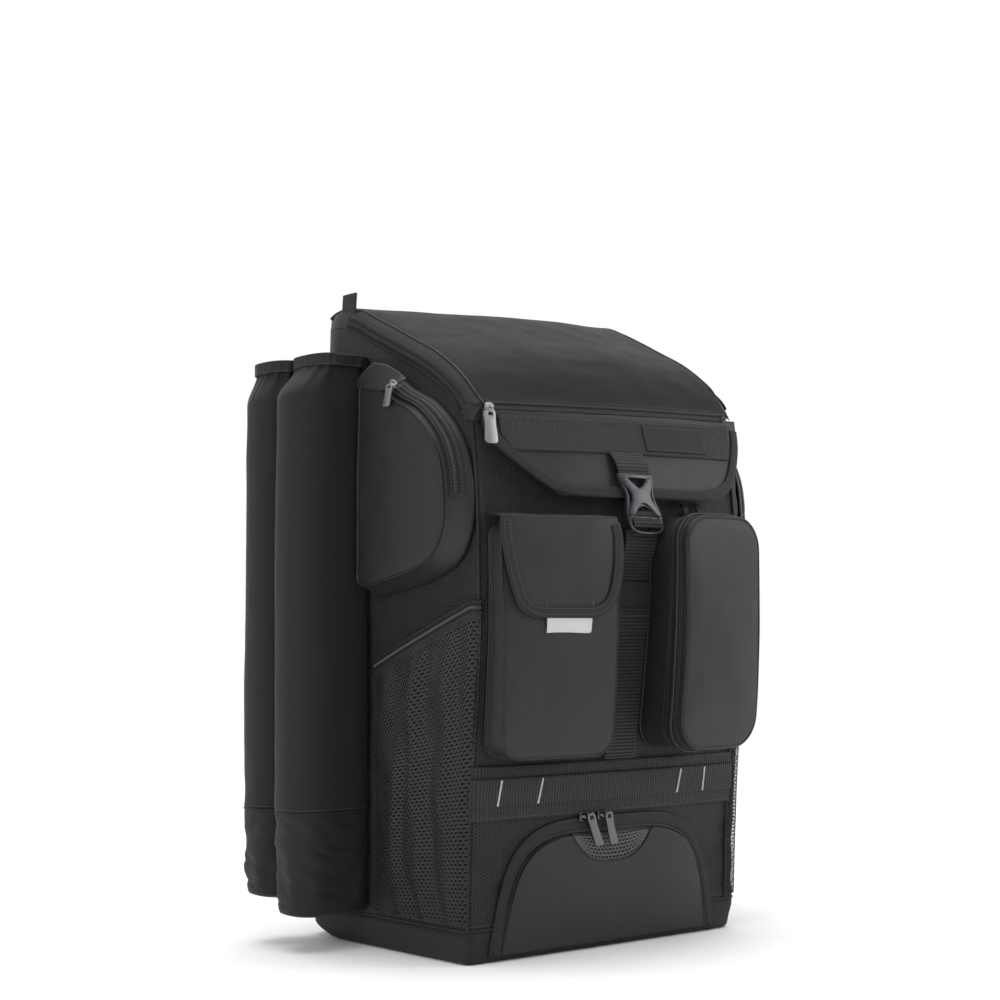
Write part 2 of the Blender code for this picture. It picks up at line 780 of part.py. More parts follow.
def build_front_webbing():
    strip_bottom = WIDE_BAND_TOP_Z + GAP * 2
    tail_depth = FLAP_STAND + FLAP_LIFT + FLAP_CLOTH

    def strip_off(z):
        rise = clamp((z - (STRIP_TOP_Z - STRIP_RISE_START)) / STRIP_RISE_LONG)
        return GAP * 1.5 + tail_depth * rise * rise * (3 - 2 * rise)

    def strip_place(u, v):
        z = strip_bottom + (STRIP_TOP_Z - BUCKLE_BAR - strip_bottom) * v
        return on_front(STRIP_X + STRIP_WIDE * (u - 0.5), z, strip_off(z))

    panel("centre_strip", 2, 9, strip_place, WEBBING, "webbing")

    def keeper_place(u, v):
        z = KEEPER_BOTTOM_Z + (KEEPER_TOP_Z - KEEPER_BOTTOM_Z) * v
        return on_front(STRIP_X + (STRIP_WIDE - KEEPER_INSET * 2) * (u - 0.5), z, strip_off(z) + WEBBING + GAP * 1.5)

    panel("strip_keeper", 2, 4, keeper_place, WEBBING, "webbing")

    def wide_place(u, v):
        z = WIDE_BAND_BOTTOM_Z + (WIDE_BAND_TOP_Z - WIDE_BAND_BOTTOM_Z) * v
        return on_front(BAND_END_S * (2 * u - 1), z, GAP * 1.5)

    panel("wide_band", 18, 1, wide_place, WEBBING, "webbing")

    def narrow_place(u, v):
        z = NARROW_BAND_BOTTOM_Z + (NARROW_BAND_TOP_Z - NARROW_BAND_BOTTOM_Z) * v
        return on_front(BAND_END_S * (2 * u - 1), z, GAP * 3 + WEBBING)

    panel("daisy_band", 18, 1, narrow_place, WEBBING, "webbing")


def rounded_rectangle(share, wide, tall, radius):
    """Point round a rounded rectangle, counter-clockwise from the middle of its right side."""
    angle = 2 * math.pi * share
    c, s = math.cos(angle), math.sin(angle)
    core_x = wide / 2 - radius
    core_z = tall / 2 - radius
    lap = share * 4 % 1
    quarter = int(share * 4) % 4
    signs = [(1, 1), (-1, 1), (-1, -1), (1, -1)][quarter]
    lengths = [core_z, core_x] if quarter % 2 == 0 else [core_x, core_z]
    arc = radius * math.pi / 2
    total = lengths[0] + arc + lengths[1]
    run = lap * total
    if run <= lengths[0]:
        a, b = run, 0.0
        corner = (radius, 0.0)
    elif run <= lengths[0] + arc:
        turn = (run - lengths[0]) / radius
        a, b = lengths[0], 0.0
        corner = (radius * math.cos(turn), radius * math.sin(turn))
    else:
        a, b = lengths[0], run - lengths[0] - arc
        corner = (0.0, radius)
    if quarter % 2 == 0:
        x = core_x + corner[0] - b
        z = a + corner[1]
        return (signs[0] * x, signs[1] * z)
    x = a + corner[1]
    z = core_z + corner[0] - b
    return (signs[0] * x, signs[1] * z)


def pocket_shell(name, columns, outline, radius, centre, deep, set_point, material, flip=False, lean=None, foot=GAP * 2):
    """An open-backed pocket: its wall rises off the bag along an outline and closes over a crowned face."""
    steps = len(POCKET_WALL) - 1

    def pocket_place(u, v):
        inset, middle, rise = POCKET_WALL[round(v * steps)]
        a, b = outline(u % 1.0)
        length = math.hypot(a, b)
        keep = (1 - inset * radius / length) * (1 - middle)
        a, b = a * keep, b * keep
        if lean:
            a, b = lean(a, b, rise)
        return set_point(centre[0] + a, centre[1] + b, foot + deep * rise)

    return panel(name, columns, steps, pocket_place, -CLOTH, material, flip)


def flap_pocket_face(x, z, off):
    return on_front(x, z, FLAP_POCKET_DEEP * 1.05 + GAP * 2 + off)


def build_flap_pocket():
    centre = (FLAP_POCKET_X, FLAP_POCKET_BOTTOM_Z + FLAP_POCKET_TALL / 2)

    def outline(share):
        return rounded_rectangle(share, FLAP_POCKET_WIDE, FLAP_POCKET_TALL, FLAP_POCKET_ROUND)

    pocket_shell("flap_pocket", 24, outline, FLAP_POCKET_ROUND, centre, FLAP_POCKET_DEEP, on_front, "coated")

    top = FLAP_POCKET_BOTTOM_Z + FLAP_POCKET_TALL + GAP * 2
    half = FLAP_POCKET_WIDE / 2

    def flap_place(u, v):
        down = (1 - v) * 1.12 - 0.12
        left, right = straight_row(POCKET_FLAP_EDGES, max(down, 0.0))
        x = FLAP_POCKET_X + (left + (right - left) * u) * half
        if down < 0:
            return on_front(x, top + GAP, FLAP_POCKET_DEEP * 1.05 * clamp(1 + down / 0.12) + GAP * 3)
        return flap_pocket_face(x, top + GAP - POCKET_FLAP_DROP * down, GAP)

    panel("pocket_flap", 8, 8, flap_place, CLOTH, "coated")

    def edge(t):
        if t < 0.4:
            down = t / 0.4
            return (straight_row(POCKET_FLAP_EDGES, down)[0] * half, down)
        if t > 0.6:
            down = (1 - t) / 0.4
            return (straight_row(POCKET_FLAP_EDGES, down)[1] * half, down)
        left, right = POCKET_FLAP_EDGES[-1][1:]
        return ((left + (right - left) * (t - 0.4) / 0.2) * half, 1.0)

    def binding_place(u, v):
        t = POCKET_BINDING_START + (1 - 2 * POCKET_BINDING_START) * u
        run, down = edge_strip(edge, t, 1 - v, BINDING_WIDE, POCKET_FLAP_DROP)
        return flap_pocket_face(FLAP_POCKET_X + run, top + GAP - POCKET_FLAP_DROP * down, GAP * 2 + CLOTH)

    panel("pocket_flap_binding", 20, 1, binding_place, BINDING_THICK, "webbing", flip=True)

    def pull_place(u, v):
        x = FLAP_POCKET_X + PULL_TAB_WIDE * (u - 0.5)
        return flap_pocket_face(x, top - POCKET_FLAP_DROP - GAP - PULL_TAB_TALL * (1 - v), GAP)

    panel("pocket_pull_tab", 2, 1, pull_place, CLOTH, "silverTape")


def build_zip_pocket():
    centre = (ZIP_POCKET_X, ZIP_POCKET_BOTTOM_Z + ZIP_POCKET_TALL / 2)

    def outline(share):
        return rounded_rectangle(share, ZIP_POCKET_WIDE, ZIP_POCKET_TALL, ZIP_POCKET_ROUND)

    pocket_shell("zip_pocket", ZIP_POCKET_COLUMNS, outline, ZIP_POCKET_ROUND, centre, ZIP_POCKET_DEEP, on_front, "coated")

    def zip_place(u, v):
        share = (1 + 16 * u) / ZIP_POCKET_COLUMNS
        wide = ZIP_POCKET_WIDE + GAP * 5
        tall = ZIP_POCKET_TALL + GAP * 5
        x, z = rounded_rectangle(share, wide, tall, ZIP_POCKET_ROUND)
        off = ZIP_POCKET_DEEP * 0.62 - ZIP_TAPE_WIDE * (v - 0.5)
        return on_front(centre[0] + x, centre[1] + z, off)

    panel("zip_pocket_tape", 16, 1, zip_place, ZIP_TAPE, "zipper")

    loop_foot = ZIP_POCKET_BOTTOM_Z + ZIP_POCKET_TALL + GAP * 6
    for name, x in (("hanging_loop_inner", LOOP_INNER_X), ("hanging_loop_outer", LOOP_OUTER_X)):
        def loop_place(u, v, x=x):
            return on_front(x + LOOP_WIDE * (u - 0.5), loop_foot + LOOP_TALL * v, GAP * 0.25)

        panel(name, 1, 1, loop_place, WEBBING * 1.6, "webbing")


def door_arch(place, inset):
    """Point on the door's arch, an inset inside its outer edge; place runs from -1, left foot, to 1, right foot."""
    half = DOOR_WIDE / 2 - inset
    tall = DOOR_TOP_Z - inset
    power = DOOR_SQUARENESS
    shoulder = 0.80
    shoulder_rise = (1 - shoulder**power) ** (1 / power)
    foot_rise = DOOR_BOTTOM_Z / tall
    run = abs(place) * 2
    if run <= 1:
        across = shoulder * run
        rise = (1 - across**power) ** (1 / power)
    else:
        rise = shoulder_rise + (foot_rise - shoulder_rise) * (run - 1)
        across = (1 - rise**power) ** (1 / power)
    x = math.copysign(half * across, place) * (1 - DOOR_TAPER * tall * rise / DOOR_TOP_Z)
    return (DOOR_X + x, tall * rise)


def build_shoe_door():
    vent_half = VENT_WIDE / 2
    base_off = GAP * 1.5

    def vent_drop(x):
        across = clamp(abs(x - DOOR_X) / vent_half)
        return VENT_TALL * (1 - across**3)

    def tape_place(u, v):
        outer = door_arch(2 * u - 1, 0.0)
        inner = door_arch(2 * u - 1, DOOR_ZIP_WIDE)
        return on_front(inner[0] + (outer[0] - inner[0]) * v, inner[1] + (outer[1] - inner[1]) * v, base_off)

    panel("shoe_door_tape", 24, 1, tape_place, ZIP_TAPE * 1.5, "zipper")

    def door_place(u, v):
        x, top = door_arch(2 * u - 1, DOOR_ZIP_WIDE + GAP * 2)
        top = max(top - vent_drop(x), DOOR_BOTTOM_Z + GAP)
        z = DOOR_BOTTOM_Z + (top - DOOR_BOTTOM_Z) * v
        across = clamp(abs(x - DOOR_X) / DOOR_WIDE * 2)
        swell = DOOR_BULGE * math.sin(math.pi * clamp(z / DOOR_TOP_Z)) * (1 - across**4)
        return on_front(x, z, base_off + swell)

    panel("shoe_door", 20, 4, door_place, CLOTH, "coated")

    def vent_place(u, v):
        x = DOOR_X + vent_half * 0.97 * (2 * u - 1)
        top = DOOR_TOP_Z - DOOR_ZIP_WIDE - GAP * 4
        z = top - (vent_drop(x) - GAP * 4) * (1 - v)
        return on_front(x, z, base_off)

    panel("shoe_door_vent", 10, 1, vent_place, MESH_CLOTH, "netting")

    for name, x in (("shoe_puller_left", SHOE_PULLER_LEFT_X), ("shoe_puller_right", SHOE_PULLER_RIGHT_X)):
        def puller_place(u, v, x=x):
            z = DOOR_TOP_Z + SHOE_PULLER_RISE - SHOE_PULLER_LONG * (1 - v)
            lean = (1 - v) * SHOE_PULLER_LONG * SHOE_PULLER_LEAN
            return on_front(x + lean + PULLER_WIDE * (u - 0.5), z, base_off + ZIP_TAPE * 1.5 + GAP)

        panel(name, 1, 2, puller_place, PULLER_THICK, "gunmetal")


def side_front_y(z):
    """Depth where the flat side begins behind the front corner."""
    end, tilt = front_end(z)
    return front_y(end, z) + FRONT_CORNER * math.cos(tilt)


def mesh_top(y):
    front = side_front_y(MESH_FRONT_Z)
    share = clamp((y - front) / (MESH_REAR_Y - front))
    return MESH_FRONT_Z + (MESH_REAR_Z - MESH_FRONT_Z) * share


def build_side(label, flip, place_side):
    def mesh_place(u, v):
        front = side_front_y(MESH_BOTTOM_Z + (MESH_FRONT_Z - MESH_BOTTOM_Z) * v)
        y = MESH_REAR_Y + (front - MESH_REAR_Y) * u
        top = mesh_top(y) - MESH_ZIP_WIDE - GAP
        z = MESH_BOTTOM_Z + (top - MESH_BOTTOM_Z) * v
        swell = MESH_BULGE * math.sin(math.pi * u) ** 0.7 * math.sin(math.pi * (0.12 + 0.76 * v)) if 0 < u < 1 else 0.0
        return (-HALF - GAP * 1.5 - swell, y, z)

    panel("mesh_pocket_" + label, 8, 7, place_side(mesh_place), MESH_CLOTH, "netting", flip)

    def tape_place(u, v):
        y = MESH_REAR_Y + (side_front_y(MESH_FRONT_Z) - MESH_REAR_Y) * u
        z = mesh_top(y) - MESH_ZIP_WIDE * (1 - v)
        swell = MESH_BULGE * math.sin(math.pi * u) ** 0.7 * math.sin(math.pi * 0.12) if 0 < u < 1 else 0.0
        return (-HALF - GAP * 1.5 - swell * (1 - v * 0.6), y, z)

    panel("mesh_pocket_tape_" + label, 8, 1, place_side(tape_place), ZIP_TAPE, "zipper", flip)

    centre_y = SIDE_POCKET_REAR_Y - SIDE_POCKET_LONG / 2
    centre_z = SIDE_POCKET_TOP_Z - SIDE_POCKET_TALL / 2
    count = len(SIDE_POCKET_OUTLINE)

    def outline(share):
        position = share * count
        index = int(position) % count
        t = position - int(position)
        rows = [SIDE_POCKET_OUTLINE[(index + k) % count] for k in (-1, 0, 1, 2)]
        values = []
        for column in (0, 1):
            p0, p1, p2, p3 = (row[column] for row in rows)
            values.append(
                0.5 * (2 * p1 + (p2 - p0) * t + (2 * p0 - 5 * p1 + 4 * p2 - p3) * t**2 + (3 * p1 - p0 - 3 * p2 + p3) * t**3)
            )
        forward = clamp(values[0])
        return (SIDE_POCKET_LONG * (0.5 - forward), SIDE_POCKET_TALL * (0.5 - clamp(values[1])))

    def on_side(y, z, off):
        return (-HALF - off, y, z)

    def mirror_point(y, z, off):
        return place_side(lambda u, v: on_side(y, z, off))(0, 0)

    def lean_in(a, b, rise):
        # The wall slopes in as it rises, towards the pocket's rear edge.
        keep = 1 - SIDE_POCKET_LEAN * rise
        return SIDE_POCKET_LONG / 2 + (a - SIDE_POCKET_LONG / 2) * keep, b * keep

    pocket_shell(
        "side_pocket_" + label, SIDE_POCKET_COLUMNS, outline, SIDE_POCKET_ROUND,
        (centre_y, centre_z), SIDE_POCKET_DEEP, mirror_point, "coated", not flip, lean_in, SIDE_POCKET_FOOT,
    )

    def side_zip_place(u, v):
        a, b = outline((1.5 + 8 * u) / SIDE_POCKET_COLUMNS)
        grow = 1 + GAP * 1.2 / math.hypot(a, b)
        off = SIDE_POCKET_DEEP * 0.50 + SIDE_ZIP_WIDE * (v - 0.5)
        a, b = lean_in(a * grow, b * grow, (off - SIDE_POCKET_FOOT) / SIDE_POCKET_DEEP)
        return on_side(centre_y + a, centre_z + b, off)

    panel("side_pocket_tape_" + label, 16, 1, place_side(side_zip_place), ZIP_TAPE, "zipper", not flip)

    def puller_place(u, v):
        y = SIDE_PULLER_Y + PULLER_WIDE * (0.5 - u)
        z = SIDE_PULLER_Z + SIDE_PULLER_LONG * (v - 0.5)
        return on_side(y, z, SIDE_POCKET_FOOT + SIDE_POCKET_DEEP * 1.02 + GAP)

    panel("side_puller_" + label, 1, 1, place_side(puller_place), PULLER_THICK, "silver", flip)

    sleeves = (
        ("front", SLEEVE_FRONT_Y, SLEEVE_FRONT_REACH),
        ("rear", SLEEVE_FRONT_Y + SLEEVE_PITCH, SLEEVE_REAR_REACH),
    )
    for which, middle_y, reach in sleeves:
        build_sleeve("bat_sleeve_%s_%s" % (which, label), middle_y, reach, flip, place_side)


def sleeve_section(share, reach, girth, ripple=0.0):
    """Point round a sleeve: flat against the bag, full and round away from it."""
    angle = 2 * math.pi * share
    c, s = math.cos(angle), math.sin(angle)
    power = 2 / (SLEEVE_SQUARENESS if c > 0 else SLEEVE_SEAM_SQUARENESS)
    half_y = SLEEVE_WIDE / 2 * girth + ripple
    out = math.copysign(abs(c) ** power, c)
    along = math.copysign(abs(s) ** power, s)
    half_x = reach / 2 * (0.25 + 0.75 * girth) + ripple * 0.5
    foot = reach / 2
    return (-HALF - GAP * 1.5 - foot - half_x * out if out > 0 else -HALF - GAP * 1.5 - foot - foot * out, along * half_y)


def build_sleeve(name, middle_y, reach, flip, place_side):
    upper_rows = 6
    rim_start = SLEEVE_TOP_Z - SLEEVE_RIM

    def upper_place(u, v):
        step = round(v * upper_rows)
        height = (SLEEVE_TOP_Z - SLEEVE_SEAM_Z - GAP) * (0.0, 0.35, 0.70, 0.90, 0.955, 0.975, 1.0)[step]
        z = SLEEVE_SEAM_Z + GAP + height
        share = height / (SLEEVE_TOP_Z - SLEEVE_SEAM_Z - GAP)
        girth = smooth_row(SLEEVE_UPPER, share)[0]
        ripple = 0.0
        if z > rim_start - RIM_LEAD:
            girth = SLEEVE_UPPER[-1][1] - 0.02
            ripple = RIM_GATHER * math.cos(2 * math.pi * RIM_GATHERS * u)
        x, y = sleeve_section(u, reach, girth, ripple)
        return (x, middle_y + y, z)

    panel(name, SLEEVE_COLUMNS, upper_rows, place_side(upper_place), -CLOTH, "neoprene", not flip)

    lower_rows = len(SLEEVE_LOWER) + 1

    def lower_place(u, v):
        step = round(v * lower_rows)
        tall = SLEEVE_SEAM_Z - SLEEVE_BOTTOM_Z
        if step == 0:
            return (-HALF - GAP * 1.5 - reach * 0.45, middle_y, SLEEVE_BOTTOM_Z)
        if step == 1:
            x, y = sleeve_section(u, reach, SLEEVE_FOOT_GIRTH)
            return (x, middle_y + y, SLEEVE_BOTTOM_Z + SLEEVE_FOOT_RISE)
        height, girth = SLEEVE_LOWER[step - 2]
        x, y = sleeve_section(u, reach, girth)
        return (x, middle_y + y, SLEEVE_BOTTOM_Z + tall * height)

    panel(name + "_base", SLEEVE_COLUMNS, lower_rows, place_side(lower_place), -CLOTH, "ripstop", not flip)


def build_back():
    def pad_place(u, v):
        z = BACK_PAD_BOTTOM_Z + (BACK_PAD_TOP_Z - BACK_PAD_BOTTOM_Z) * v
        near_end = max(0.0, abs(v - 0.5) - 0.5 + BACK_PAD_CORNER_SHARE) / BACK_PAD_CORNER_SHARE
        corner = BACK_PAD_CORNER * near_end**2
        x = (BACK_PAD_WIDE / 2 - corner) * (1 - 2 * u)
        return (x, back_y(z) + GAP * 1.5, z)

    panel("back_panel", 4, 8, pad_place, BACK_PAD_THICK, "ripstop")

    tall = STRAP_TOP_Z - STRAP_LOW_Z
    foot = BACK_PAD_THICK + GAP * 3
    for label, side in (("left", -1), ("right", 1)):
        def strap_place(u, v, side=side):
            z = STRAP_LOW_Z + tall * v
            x = STRAP_LOW_X + (STRAP_TOP_X - STRAP_LOW_X) * v
            arch = STRAP_ARCH * math.sin(math.pi * v) ** 1.5 if 0 < v < 1 else 0.0
            narrow = 1 - 0.35 * (1 - v) ** 2
            return (side * (x + STRAP_WIDE * narrow * (0.5 - u) * side), back_y(z) + foot + arch, z)

        panel("shoulder_strap_" + label, 2, 12, strap_place, STRAP_THICK, "neoprene")

        adjuster_top = STRAP_LOW_Z - GAP * 2

        def adjuster_place(x, z, depth, side=side):
            height = adjuster_top - ADJUSTER_TALL + z
            return (side * STRAP_LOW_X + x, back_y(STRAP_LOW_Z) + foot + ADJUSTER_THICK / 2 - depth, height)

        half = ADJUSTER_WIDE / 2
        bar = ADJUSTER_TALL / 7
        frame = [(-half, 0.0), (half, 0.0), (half, ADJUSTER_TALL), (-half, ADJUSTER_TALL)]
        slots = [
            [(-half + bar, k), (half - bar, k), (half - bar, k + bar * 2), (-half + bar, k + bar * 2)]
            for k in (bar, bar * 4)
        ]
        plate("strap_adjuster_" + label, frame, slots, ADJUSTER_THICK, "plastic", adjuster_place)

        low_top = adjuster_top - ADJUSTER_TALL - GAP * 2

        def lower_place(u, v, side=side):
            z = LOWER_STRAP_END_Z + (low_top - LOWER_STRAP_END_Z) * v
            return (side * STRAP_LOW_X + LOWER_STRAP_WIDE * (0.5 - u), back_y(z) + foot, z)

        panel("lower_strap_" + label, 1, 4, lower_place, WEBBING, "webbing")

    handle = bpy.data.curves.new("haul_handle", "CURVE")
    handle.dimensions = "3D"
    handle.bevel_depth = HANDLE_RADIUS
    handle.bevel_resolution = 2
    handle.use_fill_caps = True
    spline = handle.splines.new("POLY")
    steps = 12
    spline.points.add(steps)
    rest_y = back_y(HANDLE_FOOT_Z) + GAP * 2 + HANDLE_RADIUS * 0.2
    for index, point in enumerate(spline.points):
        turn = math.pi * index / steps
        x = HANDLE_HALF_SPAN * math.cos(turn)
        out = HANDLE_RISE * math.sin(turn)
        point.co = (x, rest_y + out, HANDLE_FOOT_Z + out * 0.35, 1.0)
    item = bpy.data.objects.new("haul_handle", handle)
    BAG.objects.link(item)
    handle.materials.append(finish("webbing"))


clear_scene()
BAG = bpy.data.collections.new("baseball_bat_backpack")
bpy.context.scene.collection.children.link(BAG)
build_body()
build_lid()
build_flap()
build_buckle()
build_front_webbing()
build_flap_pocket()
build_zip_pocket()
build_shoe_door()
build_side("left", False, lambda place: place)
build_side("right", True, mirrored)
build_back()
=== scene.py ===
# Baseball bat backpack with sleeves on both sides, standing on its base.
import bpy
import bmesh
import math
from mathutils import Matrix, Vector, noise


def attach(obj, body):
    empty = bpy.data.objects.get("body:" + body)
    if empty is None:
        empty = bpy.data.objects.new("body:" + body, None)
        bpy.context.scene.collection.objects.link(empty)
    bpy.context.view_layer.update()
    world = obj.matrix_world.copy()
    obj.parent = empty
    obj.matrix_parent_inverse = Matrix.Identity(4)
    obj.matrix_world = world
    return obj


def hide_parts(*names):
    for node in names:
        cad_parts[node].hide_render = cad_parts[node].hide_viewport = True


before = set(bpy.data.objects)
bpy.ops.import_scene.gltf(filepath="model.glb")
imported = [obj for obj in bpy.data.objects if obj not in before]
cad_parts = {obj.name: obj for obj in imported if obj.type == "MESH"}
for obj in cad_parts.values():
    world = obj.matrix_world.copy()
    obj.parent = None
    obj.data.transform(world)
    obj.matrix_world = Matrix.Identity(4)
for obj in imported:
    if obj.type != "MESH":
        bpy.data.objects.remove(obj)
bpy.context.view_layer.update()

# Whole bag, metres; -y is the front with the pockets
bag = {
    "width": 0.350,
    "depth": 0.262,
    "gap": 0.0004,
    "sideHeight": 0.628,
    "rimFront": 0.500,
    "rimBack": 0.617,
    "frontCorner": 0.010,
    "backCorner": (0.030, 0.055),
    "frontLean": 0.021,
    "frontCrown": 0.020,
    "backLean": 0.010,
    "slump": 0.006,
    "slumpStart": 0.360,
    "baseHeight": 0.030,
    "baseEdge": 0.006,
    "lidFront": 0.512,
    "lidCrown": 0.006,
    "lidInset": 0.009,
    "lidOverhang": 0.005,
}
half = bag["width"] / 2
gap = bag["gap"]

frontProfile = [  # height, lean, crown
    (0.00, 0.00, 0.00), (0.20, 0.24, 0.22), (0.40, 0.76, 0.62), (0.50, 0.95, 0.85),
    (0.62, 0.92, 1.00), (0.72, 0.74, 0.78), (0.80, 0.55, 0.50), (1.00, 0.50, 0.40),
]
rimLine = [  # depth, rise
    (0.00, 0.00), (0.03, 0.12), (0.07, 0.23), (0.18, 0.45), (0.30, 0.60),
    (0.42, 0.73), (0.54, 0.865), (0.65, 0.955), (0.80, 0.995), (1.00, 1.00),
]
lidLine = [  # depth, rise
    (0.000, 0.00), (0.035, 0.08), (0.080, 0.19), (0.140, 0.32), (0.260, 0.51), (0.390, 0.66),
    (0.500, 0.785), (0.620, 0.91), (0.720, 0.975), (0.850, 1.00), (0.950, 0.985), (1.000, 0.950),
]
# share of half the ring, place: front to .34, corner to .42, side to .68, corner to .80, back to 1
ringColumns = [
    (0.0, 0.00), (0.25, 0.34), (0.4375, 0.42), (0.6875, 0.68), (0.875, 0.80), (1.0, 1.00),
]


# Reading tables and laying points on the bag

def clamp(value, low=0.0, high=1.0):
    return max(low, min(high, value))


def soften(value):
    value = clamp(value)
    return value * value * (3 - 2 * value)


def findRow(rows, share):
    index = 0
    while index < len(rows) - 2 and share > rows[index + 1][0]:
        index += 1
    return index


def easedRow(rows, share):  # eased joins between the rows
    share = clamp(share, rows[0][0], rows[-1][0])
    index = findRow(rows, share)
    before, start, end = rows[max(index - 1, 0)], rows[index], rows[index + 1]
    after = rows[min(index + 2, len(rows) - 1)]
    span = end[0] - start[0]
    t = (share - start[0]) / span
    values = []
    for k in range(1, len(start)):
        slopeIn = (end[k] - before[k]) / (end[0] - before[0]) * span
        slopeOut = (after[k] - start[k]) / (after[0] - start[0]) * span
        values.append(start[k] * (2 * t**3 - 3 * t**2 + 1) + slopeIn * (t**3 - 2 * t**2 + t)
                      + end[k] * (3 * t**2 - 2 * t**3) + slopeOut * (t**3 - t**2))
    return values


def straightRow(rows, share):
    share = clamp(share, rows[0][0], rows[-1][0])
    index = findRow(rows, share)
    start, end = rows[index], rows[index + 1]
    t = (share - start[0]) / (end[0] - start[0])
    return [start[k] + (end[k] - start[k]) * t for k in range(1, len(start))]


def slump(x, z):  # the upper bag leans to its left
    reach = max(0.0, (z - bag["slumpStart"]) / (bag["lidFront"] - bag["slumpStart"]))
    return bag["slump"] * (x / half) * reach


def frontY(x, z):
    lean, crown = easedRow(frontProfile, z / bag["sideHeight"])
    across = clamp(abs(x) / half)
    return -(bag["depth"] / 2 + bag["frontLean"] * lean + bag["frontCrown"] * crown * (1 - across**2))


def frontSlope(x, z):
    crown = easedRow(frontProfile, z / bag["sideHeight"])[1]
    return 2 * bag["frontCrown"] * crown * x / half**2


def backY(z):
    return bag["depth"] / 2 - bag["backLean"] * clamp(z / bag["sideHeight"])


def backCorner(z):
    low, high = bag["backCorner"]
    return low + (high - low) * clamp(z / bag["sideHeight"])


def frontEnd(z):  # where the crowned front meets its corner
    corner = bag["frontCorner"]
    x, angle = half - corner, 0.0
    for _ in range(3):
        angle = math.atan(frontSlope(x, z))
        x = half - corner * (1 - math.sin(angle))
    return x, angle


def onFront(s, z, off=0.0):  # s runs along the front from its middle, round the corner and on to the side
    side = 1 if s >= 0 else -1
    run = abs(s)
    corner = bag["frontCorner"]
    end, tilt = frontEnd(z)
    if run <= end:
        angle = math.atan(frontSlope(run, z))
        x = run + math.sin(angle) * off
        return (side * x, frontY(run, z) - math.cos(angle) * off, z + slump(side * run, z))
    turn = math.pi / 2 - tilt
    angle = tilt + min((run - end) / corner, turn)
    past = max(0.0, run - end - turn * corner)
    x = half - corner + math.sin(angle) * (corner + off)
    y = frontY(end, z) + corner * math.cos(tilt) - math.cos(angle) * (corner + off) + past
    return (side * x, y, z + slump(side * x, z))


def ringPoint(share, z, inset=0.0):  # 0 is the middle of the front, 0.5 of the back
    side = 1 if share <= 0.5 else -1
    t = straightRow(ringColumns, 2 * (share if side == 1 else 1 - share))[0]
    end, tilt = frontEnd(z)
    radius = backCorner(z)
    corner = bag["frontCorner"]
    cornerY = frontY(end, z) + corner * math.cos(tilt)
    backStart = backY(z) - radius
    if t <= 0.34:
        x = end * t / 0.34
        angle = math.atan(frontSlope(x, z))
        normal, point = (math.sin(angle), -math.cos(angle)), (x, frontY(x, z))
    elif t <= 0.42:
        angle = tilt + (math.pi / 2 - tilt) * (t - 0.34) / 0.08
        normal = (math.sin(angle), -math.cos(angle))
        point = (half - corner + corner * normal[0], cornerY + corner * normal[1])
    elif t <= 0.68:
        normal, point = (1.0, 0.0), (half, cornerY + (backStart - cornerY) * (t - 0.42) / 0.26)
    elif t <= 0.80:
        angle = (math.pi / 2) * (t - 0.68) / 0.12
        normal = (math.cos(angle), math.sin(angle))
        point = (half - radius + radius * normal[0], backStart + radius * normal[1])
    else:
        normal, point = (0.0, 1.0), ((half - radius) * (1 - (t - 0.80) / 0.20), backY(z))
    return ((point[0] - normal[0] * inset) * side, point[1] - normal[1] * inset, z)


def rimHeight(y):
    front = frontY(half, bag["rimFront"]) + bag["frontCorner"]
    share = clamp((y - front) / (backY(bag["rimBack"]) - front))
    return bag["rimFront"] + (bag["rimBack"] - bag["rimFront"]) * easedRow(rimLine, share)[0]


def cornerFrontY(z):  # where the flat side begins behind the front corner
    end, tilt = frontEnd(z)
    return frontY(end, z) + bag["frontCorner"] * math.cos(tilt)


def lidPoint(x, share):
    front = frontY(clamp(x, -half, half), bag["lidFront"]) - bag["lidOverhang"]
    back = backY(bag["sideHeight"]) - 0.001
    rise = easedRow(lidLine, share)[0]
    across = clamp(abs(x) / (half - bag["lidInset"]))
    radius = backCorner(bag["sideHeight"])
    past = clamp(abs(x) - (half - radius), 0.0, radius)
    corner = (radius - math.sqrt(radius**2 - past**2)) * clamp((share - 0.62) / 0.38)
    z = bag["lidFront"] + (bag["sideHeight"] - bag["lidFront"]) * rise
    z += bag["lidCrown"] * (1 - across**2) * clamp(share * 5)
    return (x, front + (back - front) * share - corner, z)


def ripple(x, y, z, size, seed=0.0):  # soft unevenness, from -1 to 1
    return noise.noise(Vector((x / size + seed, y / size - seed, z / size + seed * 0.37)))


# Materials, each with its own weave or grain at its real scale

def joinNodes(tree, kind, a, b=None, c=None):  # one maths node on sockets or numbers
    node = tree.nodes.new("ShaderNodeMath")
    node.operation = kind
    for socket, value in zip(node.inputs, (a, b, c)):
        if value is None:
            continue
        if isinstance(value, (int, float)):
            socket.default_value = value
        else:
            tree.links.new(value, socket)
    return node.outputs[0]


def coordinates(tree, kind):
    place = tree.nodes.new("ShaderNodeTexCoord")
    split = tree.nodes.new("ShaderNodeSeparateXYZ")
    tree.links.new(place.outputs[kind], split.inputs[0])
    return place.outputs[kind], split.outputs


def blotches(tree, place, scale, detail=3.0):
    cloud = tree.nodes.new("ShaderNodeTexNoise")
    cloud.inputs["Scale"].default_value = scale
    cloud.inputs["Detail"].default_value = detail
    cloud.inputs["Roughness"].default_value = 0.55
    tree.links.new(place, cloud.inputs["Vector"])
    return cloud.outputs["Fac"]


